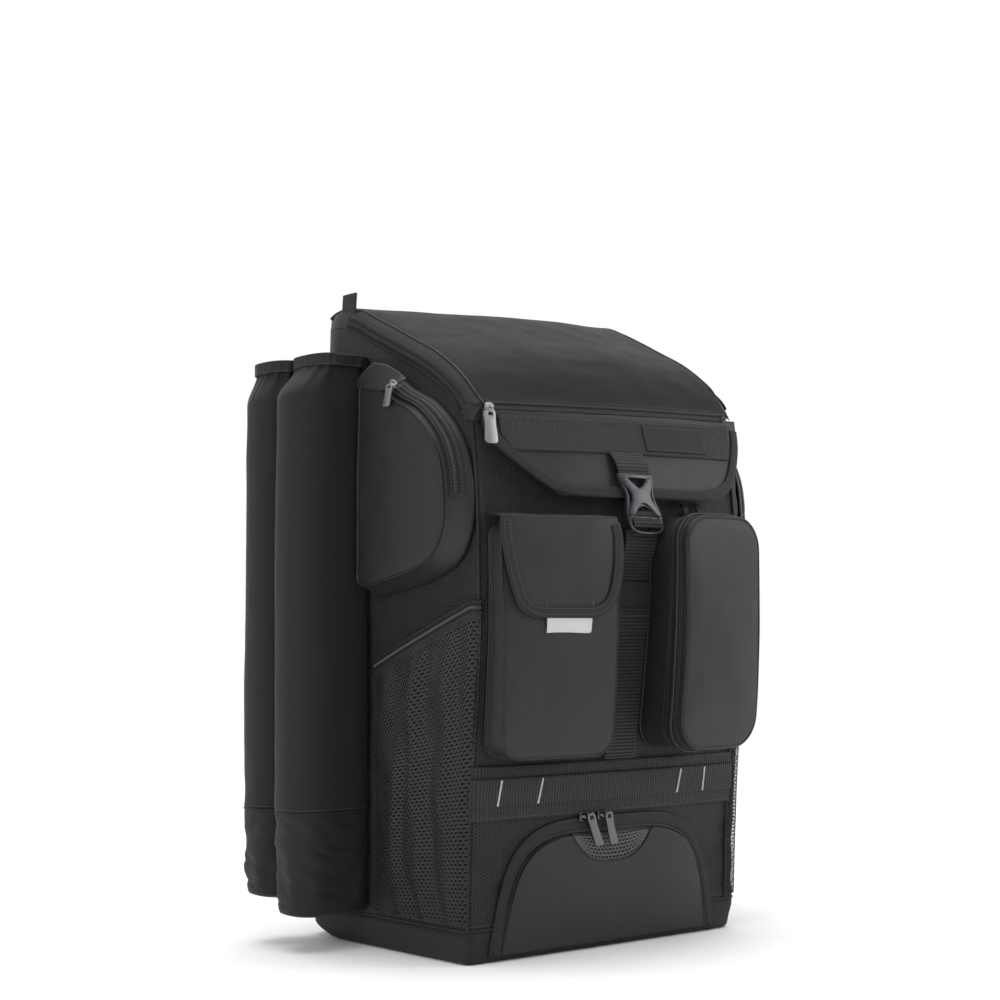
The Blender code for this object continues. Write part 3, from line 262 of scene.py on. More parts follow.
def waves(tree, socket, pitch, power=1.0):  # threads at a pitch in metres, from 0 to 1
    turn = joinNodes(tree, "SINE", joinNodes(tree, "MULTIPLY", socket, 2 * math.pi / pitch))
    level = joinNodes(tree, "MULTIPLY_ADD", turn, 0.5, 0.5)
    return level if power == 1.0 else joinNodes(tree, "POWER", level, power)


def plainWeave(tree, uv, pitch):
    across, along = waves(tree, uv[0], pitch), waves(tree, uv[1], pitch)
    product = joinNodes(tree, "MULTIPLY", joinNodes(tree, "SUBTRACT", across, 0.5),
                        joinNodes(tree, "SUBTRACT", along, 0.5))
    return joinNodes(tree, "MULTIPLY_ADD", product, 2.0, 0.5)


def twillWeave(tree, uv, pitch):
    return waves(tree, joinNodes(tree, "ADD", uv[0], joinNodes(tree, "MULTIPLY", uv[1], 0.6)), pitch)


def knitWeave(tree, uv, pitch):
    bend = joinNodes(tree, "MULTIPLY", waves(tree, uv[0], pitch), pitch * 0.5)
    return waves(tree, joinNodes(tree, "ADD", uv[1], bend), pitch * 0.7)


def honeycombWeave(tree, uv, pitch):  # small six-sided cells with raised threads between them
    total = None
    for angle in (0.0, 60.0, 120.0):
        c, s = math.cos(math.radians(angle)), math.sin(math.radians(angle))
        along = joinNodes(tree, "ADD", joinNodes(tree, "MULTIPLY", uv[0], c),
                          joinNodes(tree, "MULTIPLY", uv[1], s))
        wave = joinNodes(tree, "COSINE", joinNodes(tree, "MULTIPLY", along, 2 * math.pi / pitch))
        total = wave if total is None else joinNodes(tree, "ADD", total, wave)
    cell = joinNodes(tree, "MULTIPLY_ADD", total, -0.22, 0.34)
    fine = plainWeave(tree, uv, pitch * 0.16)
    return joinNodes(tree, "MULTIPLY_ADD", fine, 0.30, joinNodes(tree, "MULTIPLY", cell, 0.7))


def ribWeave(tree, uv, pitch):  # cords across a webbing, with fine threads over them
    rib = waves(tree, uv[1], pitch, 0.7)
    fine = waves(tree, uv[0], pitch * 0.45)
    return joinNodes(tree, "MULTIPLY_ADD", fine, 0.22, joinNodes(tree, "MULTIPLY", rib, 0.78))


finishes = {
    # name: slot, colour, roughness, weave, pitch, bump depth,
    # then colour change by thread and by blotch, sheen, gloss
    "coatedCloth": ("coated_fabric", (0.0142, 0.0142, 0.0145), 0.47, twillWeave, 0.00052, 0.00003,
                    0.10, 0.14, 0.02, 0.33),
    # the lid top: the same coated cloth with painted shade, its colour darker against the light from above
    # and its gloss lower
    "lidClothPaintedShade": ("coated_fabric", (0.0068, 0.0068, 0.0070), 0.50, twillWeave, 0.00052, 0.00003,
                 0.10, 0.14, 0.02, 0.08),
    "honeycombCloth": ("ripstop_fabric", (0.0190, 0.0190, 0.0194), 0.48, honeycombWeave, 0.0036, 0.00080,
                       2.3, 0.34, 0.03, 0.26),
    "baseTwill": ("ripstop_fabric", (0.0135, 0.0135, 0.0138), 0.60, twillWeave, 0.0011, 0.00016,
                  0.60, 0.22, 0.03, 0.24),
    "jerseyCloth": ("neoprene", (0.0130, 0.0130, 0.0133), 0.66, knitWeave, 0.00060, 0.00004,
                    0.12, 0.10, 0.06, 0.22),
    "ribbedWebbing": ("webbing", (0.019, 0.019, 0.0195), 0.60, ribWeave, 0.0033, 0.00130,
                      1.50, 0.15, 0.03, 0.28),
    "plainWebbing": ("webbing", (0.019, 0.019, 0.0195), 0.62, plainWeave, 0.0011, 0.00016,
                     0.45, 0.15, 0.03, 0.26),
    "bindingTape": ("webbing", (0.017, 0.017, 0.0175), 0.64, plainWeave, 0.0010, 0.00014,
                    0.40, 0.15, 0.03, 0.24),
    "zipTape": ("zip_tape", (0.010, 0.010, 0.0105), 0.66, knitWeave, 0.0010, 0.00010,
                0.30, 0.12, 0.02, 0.20),
    "silverTape": ("silver_tape", (0.52, 0.52, 0.52), 0.38, plainWeave, 0.0008, 0.00006,
                   0.05, 0.08, 0.00, 0.50),
    "padCloth": ("ripstop_fabric", (0.0115, 0.0115, 0.0118), 0.70, knitWeave, 0.0022, 0.00030,
                 0.70, 0.15, 0.05, 0.22),
}


def startMaterial(name, colour):  # with its nodes, its shader and the socket that shades its colour
    material = bpy.data.materials.new(name)
    material.use_nodes = True
    tree = material.node_tree
    shader = tree.nodes["Principled BSDF"]
    tone = tree.nodes.new("ShaderNodeVectorMath")
    tone.operation = "SCALE"
    tone.inputs[0].default_value = colour
    tree.links.new(tone.outputs[0], shader.inputs["Base Color"])
    return material, tree, shader, tone.inputs["Scale"]


def addBump(tree, shader, height, strength, depth):
    bump = tree.nodes.new("ShaderNodeBump")
    bump.inputs["Strength"].default_value = strength
    bump.inputs["Distance"].default_value = depth
    tree.links.new(height, bump.inputs["Height"])
    tree.links.new(bump.outputs[0], shader.inputs["Normal"])


def makeCloth(name):
    slotName, colour, roughness, weave, pitch, depth, threadShade, blotchShade, sheen, gloss = finishes[name]
    material, tree, shader, tone = startMaterial(name, colour)
    uv = coordinates(tree, "UV")[1]
    place = coordinates(tree, "Object")[0]
    thread = weave(tree, uv, pitch)
    cloud = joinNodes(tree, "SUBTRACT", blotches(tree, place, 34.0), 0.5)
    shade = joinNodes(tree, "MULTIPLY_ADD", joinNodes(tree, "SUBTRACT", thread, 0.5), threadShade, 1.0)
    tree.links.new(joinNodes(tree, "MULTIPLY_ADD", cloud, blotchShade * 2, shade), tone)
    tree.links.new(joinNodes(tree, "MULTIPLY_ADD", cloud, 0.18, roughness), shader.inputs["Roughness"])
    shader.inputs["Sheen Weight"].default_value = sheen
    shader.inputs["Sheen Roughness"].default_value = 0.45
    shader.inputs["Specular IOR Level"].default_value = gloss
    fuzz = blotches(tree, place, 2600.0, 1.0)
    addBump(tree, shader, joinNodes(tree, "MULTIPLY_ADD", fuzz, 0.25, thread), 0.8, depth)
    return material


solids = {
    # name: slot, colour, roughness, metal, grain scale, grain depth, roughness change, gloss
    "mouldedPlastic": ("moulded_plastic", (0.0145, 0.0165, 0.0215), 0.33, 0.0, 900.0, 0.00003, 0.14, 0.50),
    "zipCoil": ("zip_tape", (0.022, 0.022, 0.0235), 0.34, 0.0, 2200.0, 0.00003, 0.12, 0.45),
    "satinMetal": ("satin_metal", (0.31, 0.31, 0.318), 0.46, 1.0, 700.0, 0.00002, 0.16, 0.50),
    "darkMetal": ("dark_metal", (0.115, 0.115, 0.125), 0.24, 1.0, 700.0, 0.00002, 0.16, 0.50),
    "netCord": ("netting", (0.017, 0.017, 0.0173), 0.34, 0.0, 2600.0, 0.00006, 0.12, 0.45),
    "paleCoil": ("zip_tape", (0.060, 0.060, 0.062), 0.40, 0.0, 2200.0, 0.00003, 0.12, 0.40),
    "windowCord": ("netting", (0.150, 0.150, 0.152), 0.50, 0.0, 2600.0, 0.00006, 0.12, 0.30),
    "darkThread": ("webbing", (0.070, 0.070, 0.072), 0.50, 0.0, 4200.0, 0.00005, 0.10, 0.30),
    "whiteThread": ("silver_tape", (0.66, 0.66, 0.65), 0.55, 0.0, 4200.0, 0.00005, 0.10, 0.30),
    "weltCord": ("coated_fabric", (0.014, 0.014, 0.0143), 0.48, 0.0, 1500.0, 0.00004, 0.12, 0.26),
}


def makeSolid(name):
    slotName, colour, roughness, metal, grainScale, grainDepth, roughChange, gloss = solids[name]
    material, tree, shader, tone = startMaterial(name, colour)
    place = coordinates(tree, "Object")[0]
    cloud = joinNodes(tree, "SUBTRACT", blotches(tree, place, 60.0), 0.5)
    tree.links.new(joinNodes(tree, "MULTIPLY_ADD", cloud, 0.24, 1.0), tone)
    tree.links.new(joinNodes(tree, "MULTIPLY_ADD", cloud, roughChange, roughness), shader.inputs["Roughness"])
    shader.inputs["Metallic"].default_value = metal
    shader.inputs["Specular IOR Level"].default_value = gloss
    addBump(tree, shader, blotches(tree, place, grainScale, 2.0), 0.6, grainDepth)
    return material


materials = {name: makeCloth(name) for name in finishes}
materials.update({name: makeSolid(name) for name in solids})
print("materials made:", len(materials))


# Making pieces

sides = (("left", -1), ("right", 1))


def addPiece(name, form, finish, sharp=45):
    mesh = bpy.data.meshes.new(name)
    form.to_mesh(mesh)
    form.free()
    mesh.materials.append(materials[finish])
    mesh.shade_smooth()
    mesh.set_sharp_from_angle(angle=math.radians(sharp))
    piece = bpy.data.objects.new(name, mesh)
    bpy.context.scene.collection.objects.link(piece)
    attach(piece, "root")
    return piece


def thicken(piece, thick):  # outwards, or inwards where thick is below zero
    shell = piece.modifiers.new("cloth", "SOLIDIFY")
    shell.thickness = abs(thick)
    shell.offset = 1.0 if thick > 0 else -1.0


def distances(points):
    total, runs = 0.0, [0.0]
    for a, b in zip(points, points[1:]):
        total += (b - a).length
        runs.append(total)
    return runs


def clothGrid(name, columns, rows, place, finish, thick=0.0, flip=False, swell=None, uvTurn=False):
    # a sheet from place(u, v), with uv in metres; swell(u, v, point) lifts it off its own surface
    form = bmesh.new()
    uvLayer = form.loops.layers.uv.new("UVMap")
    spots = [[Vector(place(i / columns, j / rows)) for i in range(columns + 1)] for j in range(rows + 1)]
    runs = distances(spots[rows // 2])
    climbs = distances([row[columns // 2] for row in spots])
    verts = [[form.verts.new(spot) for spot in row] for row in spots]
    for j in range(rows):
        for i in range(columns):
            corners = [(i, j), (i + 1, j), (i + 1, j + 1), (i, j + 1)]
            if flip:
                corners.reverse()
            if len({tuple(spots[b][a]) for a, b in corners}) < 3:
                continue
            face = form.faces.new([verts[b][a] for a, b in corners])
            for loop, (a, b) in zip(face.loops, corners):
                loop[uvLayer].uv = (climbs[b], runs[a]) if uvTurn else (runs[a], climbs[b])
    if swell:
        form.normal_update()
        # a closed ring shares its first normals
        if (spots[rows // 2][0] - spots[rows // 2][-1]).length < 1e-6:
            for row in verts:
                shared = (row[0].normal + row[-1].normal).normalized()
                row[0].normal = row[-1].normal = shared
        moves = [(verts[j][i], verts[j][i].normal.copy() * swell(i / columns, j / rows, spots[j][i]))
                 for j in range(rows + 1) for i in range(columns + 1)]
        for vert, move in moves:
            vert.co += move
    bmesh.ops.remove_doubles(form, verts=form.verts, dist=0.00002)
    piece = addPiece(name, form, finish)
    if thick:
        thicken(piece, thick)
    return piece


def layRoute(route, step, closed=False, start=0.0, end=1.0, fine=240):
    # evenly spaced stations on route(t, off): point, along, up and distance
    low = [Vector(route(start + (end - start) * i / fine, 0.0)) for i in range(fine + 1)]
    high = [Vector(route(start + (end - start) * i / fine, 0.001)) for i in range(fine + 1)]
    runs = distances(low)
    count = max(2, round(runs[-1] / step))
    stations = []
    index = 0
    for k in range(count if closed else count + 1):
        want = runs[-1] * k / count
        while index < fine - 1 and runs[index + 1] < want:
            index += 1
        t = (want - runs[index]) / max(runs[index + 1] - runs[index], 1e-9)
        point = low[index].lerp(low[index + 1], t)
        up = (high[index] - low[index]).lerp(high[index + 1] - low[index + 1], t).normalized()
        before = low[max(index - 1, 0)]
        after = low[min(index + 2, fine)]
        if closed and (index == 0 or index >= fine - 2):
            before, after = low[(index - 1) % fine], low[(index + 2) % fine]
        along = (after - before).normalized()
        up = (up - along * up.dot(along)).normalized()
        stations.append((point, along, up, want))
    return stations


def sweep(name, stations, profile, finish, closed=False):
    # carries a cross-section of (across, up) points along the stations
    form = bmesh.new()
    uvLayer = form.loops.layers.uv.new("UVMap")
    rings = []
    for point, along, up, run in stations:
        side = along.cross(up)
        rings.append([form.verts.new(point + side * a + up * b) for a, b in profile])
    around = distances([Vector((a, b, 0.0)) for a, b in profile + profile[:1]])
    count = len(profile)
    pairs = list(zip(range(len(rings) - 1), range(1, len(rings))))
    if closed:
        pairs.append((len(rings) - 1, 0))
    for low, high in pairs:
        runs = (stations[low][3], stations[high][3] if high else stations[low][3] + stations[1][3])
        for i in range(count):
            j = (i + 1) % count
            face = form.faces.new([rings[low][i], rings[low][j], rings[high][j], rings[high][i]])
            marks = [(around[i], runs[0]), (around[i + 1], runs[0]), (around[i + 1], runs[1]),
                     (around[i], runs[1])]
            for loop, mark in zip(face.loops, marks):
                loop[uvLayer].uv = mark
    if not closed:
        form.faces.new(list(reversed(rings[0])))
        form.faces.new(rings[-1])
    bmesh.ops.recalc_face_normals(form, faces=form.faces)
    return addPiece(name, form, finish)


def cord(name, route, step, radius, sides=8, finish="weltCord", closed=False):  # a round cord along a route
    turns = [2 * math.pi * k / sides for k in range(sides)]
    profile = [(radius * math.cos(turn), radius * math.sin(turn)) for turn in turns]
    return sweep(name, layRoute(route, step, closed), profile, finish, closed)


def walkEdges(t, left=0.0, low=0.0):  # round a sheet's edges, set in by shares, from its lower left corner
    corners = [(left, low), (1 - left, low), (1 - left, 1 - low), (left, 1 - low), (left, low)]
    k = min(int(t * 4), 3)
    return [a + (b - a) * (t * 4 - k) for a, b in zip(corners[k], corners[k + 1])]


def evenOutline(spots):  # a closed outline with its points spaced evenly, from 0 to 1
    runs = distances(spots)

    def outline(share):
        want = (share % 1.0) * runs[-1]
        low, high = 0, len(runs) - 1
        while high - low > 1:
            middle = (low + high) // 2
            low, high = (middle, high) if runs[middle] <= want else (low, middle)
        spot = spots[low].lerp(spots[high], (want - runs[low]) / max(runs[high] - runs[low], 1e-9))
        return (spot.x, spot.y)

    return outline


def bandProfile(width, thick, base=0.0):  # a flat band with softened edges
    w, e = width / 2, thick * 0.45
    return [(-w, base + thick * 0.5), (-w + e, base), (-w / 3, base), (w / 3, base), (w - e, base),
            (w, base + thick * 0.5), (w - e, base + thick), (w / 3, base + thick), (-w / 3, base + thick),
            (-w + e, base + thick)]


grainShape = (
    [(-0.5, 0, 0), (0.5, 0, 0), (0, 0.5, 0), (0, 0, 0.5), (0, -0.5, 0), (0, 0, -0.5)],
    [(0, 3, 2), (0, 4, 3), (0, 5, 4), (0, 2, 5), (1, 2, 3), (1, 3, 4), (1, 4, 5), (1, 5, 2)],
)
toothShape = (
    [(-0.5, -0.5, -0.4), (0.5, -0.5, -0.4), (0.5, 0.5, -0.4), (-0.5, 0.5, -0.4),
     (-0.3, -0.36, 0.5), (0.3, -0.36, 0.5), (0.3, 0.36, 0.5), (-0.3, 0.36, 0.5)],
    [(3, 2, 1, 0), (4, 5, 6, 7), (0, 1, 5, 4), (1, 2, 6, 5), (2, 3, 7, 6), (3, 0, 4, 7)],
)


def scatter(name, stations, size, finish, shape=grainShape, shift=0.0, lift=0.0, lean=0.0):
    # the same small solid at every station, size = (along, across, up)
    form = bmesh.new()
    corners, faces = shape
    for k, (point, along, up, run) in enumerate(stations):
        side = along.cross(up)
        turned = (along + side * lean * (1 if k % 2 else -1)).normalized() if lean else along
        across = turned.cross(up)
        verts = [form.verts.new(point + side * shift + up * lift + turned * (a * size[0])
                                + across * (b * size[1]) + up * (c * size[2]))
                 for a, b, c in corners]
        for face in faces:
            form.faces.new([verts[k] for k in face])
    bmesh.ops.recalc_face_normals(form, faces=form.faces)
    return addPiece(name, form, finish, 80)


stitch = {"pitch": 0.0034, "long": 0.0025, "wide": 0.00085, "high": 0.0007}


def stitchRow(name, route, shift=0.0, lift=0.0, finish="darkThread", start=0.0, end=1.0, pitch=None,
              closed=False):
    stations = layRoute(route, pitch or stitch["pitch"], closed, start, end)
    long = stitch["long"] * (pitch or stitch["pitch"]) / stitch["pitch"]
    return scatter(name, stations, (long, stitch["wide"], stitch["high"]), finish, shift=shift, lift=lift)


def zipLine(name, route, tapeWidth, start=0.0, tape=True, coil=0.0052, coilFinish="zipCoil"):
    # tape, coil and the two rows of stitches that hold the tape
    pieces = []
    if tape:
        stations = layRoute(route, 0.004, start=start)
        pieces.append(sweep(name + "_tape", stations, bandProfile(tapeWidth, 0.0008), "zipTape"))
    teeth = layRoute(route, 0.00135, start=start)
    pieces.append(scatter(name + "_coil", teeth, (0.00115, coil, 0.0013), coilFinish, toothShape,
                          lift=0.0011))
    if tape:
        for label, side in (("a", -1), ("b", 1)):
            pieces.append(stitchRow("%s_stitch_%s" % (name, label), route, side * (tapeWidth / 2 - 0.0015),
                                    0.001, start=start))
    return pieces


print("tools ready")


# Camera, light and floor

view = {"azimuth": -39.86, "pitch": 4.40, "roll": -0.37, "lens": 66.17, "distance": 1.8829,
        "side": -0.0181, "height": 0.2897}


def setCamera():
    turn, tip, roll = (math.radians(view[key]) for key in ("azimuth", "pitch", "roll"))
    level = Vector((-math.sin(turn), math.cos(turn), 0.0))
    right = Vector((math.cos(turn), math.sin(turn), 0.0))
    up = Vector((0.0, 0.0, 1.0))
    forward = level * math.cos(tip) + up * math.sin(tip)
    top = up * math.cos(tip) - level * math.sin(tip)
    rightRolled = right * math.cos(roll) + top * math.sin(roll)
    topRolled = top * math.cos(roll) - right * math.sin(roll)
    spot = -level * view["distance"] + right * view["side"] + up * view["height"]
    lens = bpy.data.cameras.new("camera")
    lens.lens = view["lens"]
    lens.sensor_width = 36.0
    lens.clip_start = 0.05
    camera = bpy.data.objects.new("camera", lens)
    bpy.context.scene.collection.objects.link(camera)
    axes = Matrix((rightRolled, topRolled, -forward)).transposed()
    camera.matrix_world = Matrix.Translation(spot) @ axes.to_4x4()
    bpy.context.scene.camera = camera


studio = {"bright": 1.0, "dim": 0.30, "floor": (1.0, 1.0, 1.0), "floorSize": 2.6}
lights = [  # name, power, size, place, height of its target
    ("left_light", 17.0, 0.9, (-2.3, -0.7, 1.0), 0.32),
    ("right_light", 13.0, 0.9, (1.6, -1.6, 1.1), 0.32),
    ("front_light", 6.0, 1.6, (-0.9, -2.4, 1.6), 0.30),
    ("top_light", 240.0, 5.0, (-0.2, 0.2, 6.0), 0.30),
]


def softLight(name, power, size, spot, target):
    lamp = bpy.data.lights.new(name, "AREA")
    lamp.energy = power
    lamp.size = size
    item = bpy.data.objects.new(name, lamp)
    bpy.context.scene.collection.objects.link(item)
    item.location = spot
    item.rotation_euler = (Vector(target) - Vector(spot)).to_track_quat("-Z", "Y").to_euler()


def setStudio():
    world = bpy.data.worlds.new("studio")
    world.use_nodes = True
    tree = world.node_tree
    sky = tree.nodes["Background"]
    aim = tree.nodes.new("ShaderNodeVectorMath")  # a bright wall behind the bag, a dim room in front of it
    aim.operation = "DOT_PRODUCT"
    turn = math.radians(view["azimuth"])
    aim.inputs[1].default_value = (-math.sin(turn), math.cos(turn), 0.12)
    tree.links.new(coordinates(tree, "Generated")[0], aim.inputs[0])
    share = tree.nodes.new("ShaderNodeMapRange")
    for socket, value in zip(("From Min", "From Max", "To Min", "To Max"),
                             (-0.25, 0.45, studio["dim"], studio["bright"])):
        share.inputs[socket].default_value = value
    tree.links.new(aim.outputs["Value"], share.inputs["Value"])
    sky.inputs["Color"].default_value = (1.0, 1.0, 1.0, 1.0)
    tree.links.new(share.outputs[0], sky.inputs["Strength"])
    bpy.context.scene.world = world
    bpy.context.scene.view_settings.view_transform = "Standard"
    for name, power, size, spot, targetHeight in lights:
        softLight(name, power, size, spot, (0.0, 0.0, targetHeight))
    form = bmesh.new()
    bmesh.ops.create_grid(form, x_segments=4, y_segments=4, size=studio["floorSize"])
    mesh = bpy.data.meshes.new("floor")
    form.to_mesh(mesh)
    form.free()
    paper = bpy.data.materials.new("studioPaper")
    paper.use_nodes = True
    shader = paper.node_tree.nodes["Principled BSDF"]
    shader.inputs["Base Color"].default_value = (*studio["floor"], 1.0)
    shader.inputs["Roughness"].default_value = 0.9
    mesh.materials.append(paper)
    floor = bpy.data.objects.new("floor", mesh)
    bpy.context.scene.collection.objects.link(floor)
    floor.location.z = -0.0005


setCamera()
setStudio()
print("camera and studio set")


# Body: the ripstop shell, its twill base and its seams

body = {"cloth": 0.0015, "columns": 170, "rows": 90, "dent": 0.0029, "weltRadius": 0.0013,
        "seamRadius": 0.0012, "rearLift": 0.012, "rightSeam": 0.1575, "weltTop": 0.498, "calmZ": 0.152}


def makeBody():
    low = bag["baseHeight"] + gap

    def shellPlace(u, v):
        nominal = rimHeight(ringPoint(u, bag["rimFront"])[1])
        if nominal > bag["rimFront"] + gap:
            for _ in range(3):
                nominal = rimHeight(ringPoint(u, nominal)[1])
        z = low + (nominal - low) * v
        x, y, _ = ringPoint(u, z)
        return (x, y, z + slump(x, z))

    def dents(u, v, spot):  # soft folds that only go inwards, flat under the webbing
        x, y, z = spot
        calm = soften(abs(z - body["calmZ"]) / 0.05 - 0.5) * soften((0.49 - z) / 0.04)
        calm *= soften((z - 0.03) / 0.02)
        broad = ripple(x, y, z, 0.060, 3.1) * 0.5 + 0.5
        crease = 1 - abs(ripple(x + z * 0.4, y, z - x * 0.5, 0.042, 7.7)) * 3
        return -body["dent"] * calm * (0.6 * broad + 0.5 * clamp(crease))

    shell = clothGrid("body_shell", body["columns"], body["rows"], shellPlace, "honeycombCloth",
                      -body["cloth"], swell=dents)
    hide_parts("main_body")

    baseRows = [  # share towards the middle, inset, rise
        (1.00, 1.0, 0.0), (0.80, 1.0, 0.0), (0.55, 1.0, 0.0), (0.30, 1.0, 0.0), (0.12, 1.0, 0.0),
        (0.0, 1.0, 0.0), (0.0, 0.62, 0.07), (0.0, 0.3, 0.27), (0.0, 0.08, 0.6), (0.0, 0.0, 1.0),
        (0.0, 0.0, 2.3), (0.0, 0.0, 3.6), (0.0, 0.0, 5.0),
    ]

    def basePlace(u, v):
        middle, inset, rise = baseRows[round(v * (len(baseRows) - 1))]
        x, y, z = ringPoint(u, rise * bag["baseEdge"], inset * bag["baseEdge"])
        # the right front corner is rounder
        near = soften(1 - math.hypot(x - half, y - cornerFrontY(z) + 0.010) / 0.030)
        near *= soften((0.026 - z) / 0.020)
        x, y = x - 0.003 * near, y + 0.003 * near
        x, y = x * (1 - middle), y * (1 - middle)
        lift = body["rearLift"] * soften((y - 0.075) / 0.05) * soften((abs(x) - 0.10) / 0.06)
        return (x, y, z + lift * (1 - rise / 5))

    base = clothGrid("base_shell", body["columns"], len(baseRows) - 1, basePlace, "baseTwill", -body["cloth"])
    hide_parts("base_panel")

    def baseSeam(t, off, rise=0.0):
        return ringPoint(t % 1.0, bag["baseHeight"] + rise, -off)

    cord("base_seam", baseSeam, 0.004, body["seamRadius"], sides=6, finish="bindingTape", closed=True)
    stitchRow("base_stitch", lambda t, off: baseSeam(t, off, 0.004), closed=True)
    for label, side in sides:
        def cornerWelt(t, off, side=side):
            z = bag["baseHeight"] + (body["weltTop"] - bag["baseHeight"]) * t
            end, tilt = frontEnd(z)
            s = end + bag["frontCorner"] * (math.pi / 2 - tilt) * 0.55 if side < 0 else body["rightSeam"]
            return onFront(side * s, z, off + 0.0004)

        cord("corner_welt_" + label, cornerWelt, 0.004, body["weltRadius"], finish="bindingTape")
    print("body made")


makeBody()


# Zip pullers: a slider on the coil and a flat pull that hangs from it

def cutPlate(name, loops, thick, edge, steps, place, inset=0.0):
    # a flat plate inside closed loops, its edges rounded, laid by place(x, y, depth)
    curve = bpy.data.curves.new(name, "CURVE")
    curve.dimensions = "2D"
    curve.fill_mode = "BOTH"
    curve.extrude = thick / 2 - edge
    curve.bevel_depth = edge
    curve.bevel_resolution = steps
    curve.offset = -inset
    for loop in loops:
        spline = curve.splines.new("POLY")
        spline.points.add(len(loop) - 1)
        for point, (x, y) in zip(spline.points, loop):
            point.co = (x, y, 0.0, 1.0)
        spline.use_cyclic_u = True
    source = bpy.data.objects.new(name + "_outline", curve)
    bpy.context.scene.collection.objects.link(source)
    mesh = bpy.data.meshes.new_from_object(source.evaluated_get(bpy.context.evaluated_depsgraph_get()))
    bpy.data.objects.remove(source, do_unlink=True)
    form = bmesh.new()
    form.from_mesh(mesh)
    bpy.data.meshes.remove(mesh)
    bmesh.ops.remove_doubles(form, verts=form.verts, dist=0.000005)
    for vert in form.verts:
        vert.co = place(vert.co.x, vert.co.y, vert.co.z)
    bmesh.ops.recalc_face_normals(form, faces=form.faces)
    return form


def makePull(name, place, long, wide, thick, finish):
    # place(a, b, off): a across, b downwards from the hinge; a slight waist, a slot and a squared end
    side = [(0.0, 0.34), (0.07, 0.47), (0.16, 0.50), (0.32, 0.45), (0.50, 0.45), (0.90, 0.50),
            (0.97, 0.44), (1.0, 0.30), (1.0, 0.0)]
    ring = [(-w, d) for d, w in side] + [(w, d) for d, w in reversed(side[:-1])]
    hole = [(-0.20, 0.07), (-0.26, 0.19), (0.26, 0.19), (0.20, 0.07)]
    loops = [[(a * wide, -d * long) for a, d in loop] for loop in (ring, hole)]
    form = cutPlate(name, loops, thick, 0.0002, 1, lambda a, b, off: place(a, -b, off))
    return addPiece(name, form, finish, 30)


def makeSlider(name, centre, along, up, finish, size=(0.0105, 0.0078, 0.0040)):
    # the slider body with its nose, waist and bridge
    along, up = Vector(along).normalized(), Vector(up).normalized()
    side = along.cross(up).normalized()
    form = bmesh.new()
    plan = [(-0.5, 0.30), (-0.30, 0.46), (0.05, 0.50), (0.34, 0.40), (0.5, 0.22)]
    ring = plan + [(a, -b) for a, b in reversed(plan)]
    layers = [(0.0, 0.92), (0.14, 1.0), (0.42, 1.0), (0.56, 0.86)]
    rows = []
    for height, grow in layers:
        middle = Vector(centre) + up * (height * size[2])
        rows.append([form.verts.new(middle + along * (a * size[0] * grow) + side * (b * size[1] * grow))
                     for a, b in ring])
    for low, high in zip(rows, rows[1:]):
        for i in range(len(ring)):
            j = (i + 1) % len(ring)
            form.faces.new([low[i], low[j], high[j], high[i]])
    form.faces.new(list(reversed(rows[0])))
    form.faces.new(rows[-1])
    bmesh.ops.recalc_face_normals(form, faces=form.faces)
    addPiece(name, form, finish, 35)
    turns = [math.pi * k / 10 for k in range(11)]
    arch = [Vector(centre) + along * (size[0] * 0.34 * math.cos(turn))
            + up * (size[2] * (0.5 + 0.62 * math.sin(turn))) for turn in turns]
    stations = [(spot, (arch[min(k + 1, 10)] - arch[max(k - 1, 0)]).normalized(), side, 0.0)
                for k, spot in enumerate(arch)]
    sweep(name + "_bridge", stations,
          [(-0.0006, -0.0011), (0.0006, -0.0011), (0.0006, 0.0011), (-0.0006, 0.0011)], finish)


# Lid: the smooth domed top with its welt, side flaps over the zip, zip and puller

lid = {"cloth": 0.0018, "columns": 90, "rows": 90, "roll": 0.0022, "weltRadius": 0.0014, "flapDrop": 0.015,
       "coverEnd": 0.87, "zipEnd": 0.78, "rearLift": 0.007, "pullerLong": 0.033, "pullerWide": 0.0108,
       "tabWide": 0.022, "tabTall": 0.029, "tabY": 0.058, "zipRight": 0.148, "rearWall": 0.165,
       "hemZ": 0.5128, "zipZ": 0.5085, "zipWide": 0.010, "pullX": 0.013, "tabShare": 0.652}
flap = {"top": 0.507, "bottom": 0.425, "cloth": 0.0024, "stand": 0.0035, "lift": 0.007, "bindWide": 0.0105,
        "bindThick": 0.0011, "bandTop": 0.501, "bandBottom": 0.467, "patchX": 0.062, "patchWide": 0.086,
        "patchTall": 0.025, "curl": 0.0016}
flapEdges = [  # drop, left, right, as shares of the half width
    (0.00, -0.955, 0.940), (0.30, -0.950, 0.925), (0.45, -0.895, 0.895),
    (0.72, -0.735, 0.830), (0.90, -0.610, 0.745), (1.00, -0.530, 0.600),
]
lidHalf = half - bag["lidInset"]


def lidSurface(x, share, off=0.0):  # off lifts straight out of the lid
    wide = x * (1 - 0.060 * soften(1 - share / 0.12)) if x > 0 else x
    spot = Vector(lidPoint(wide, share))
    spot.z += lid["rearLift"] * soften(-x / lidHalf) * soften((share - 0.55) / 0.35)
    if off:
        right = Vector(lidPoint(x + 0.002, share)) - Vector(lidPoint(x - 0.002, share))
        back = Vector(lidPoint(x, min(share + 0.01, 1.0))) - Vector(lidPoint(x, max(share - 0.01, 0.0)))
        spot += right.cross(back).normalized() * off
    return (spot.x, spot.y, spot.z + slump(spot.x, spot.z))


def flapStand(drop):
    return flap["stand"] + flap["lift"] * math.sin(math.pi / 2 * clamp(drop))


def onFlap(s, drop, off=0.0):
    z = flap["top"] - (flap["top"] - flap["bottom"]) * drop
    return onFront(s, z, flapStand(drop) + off)


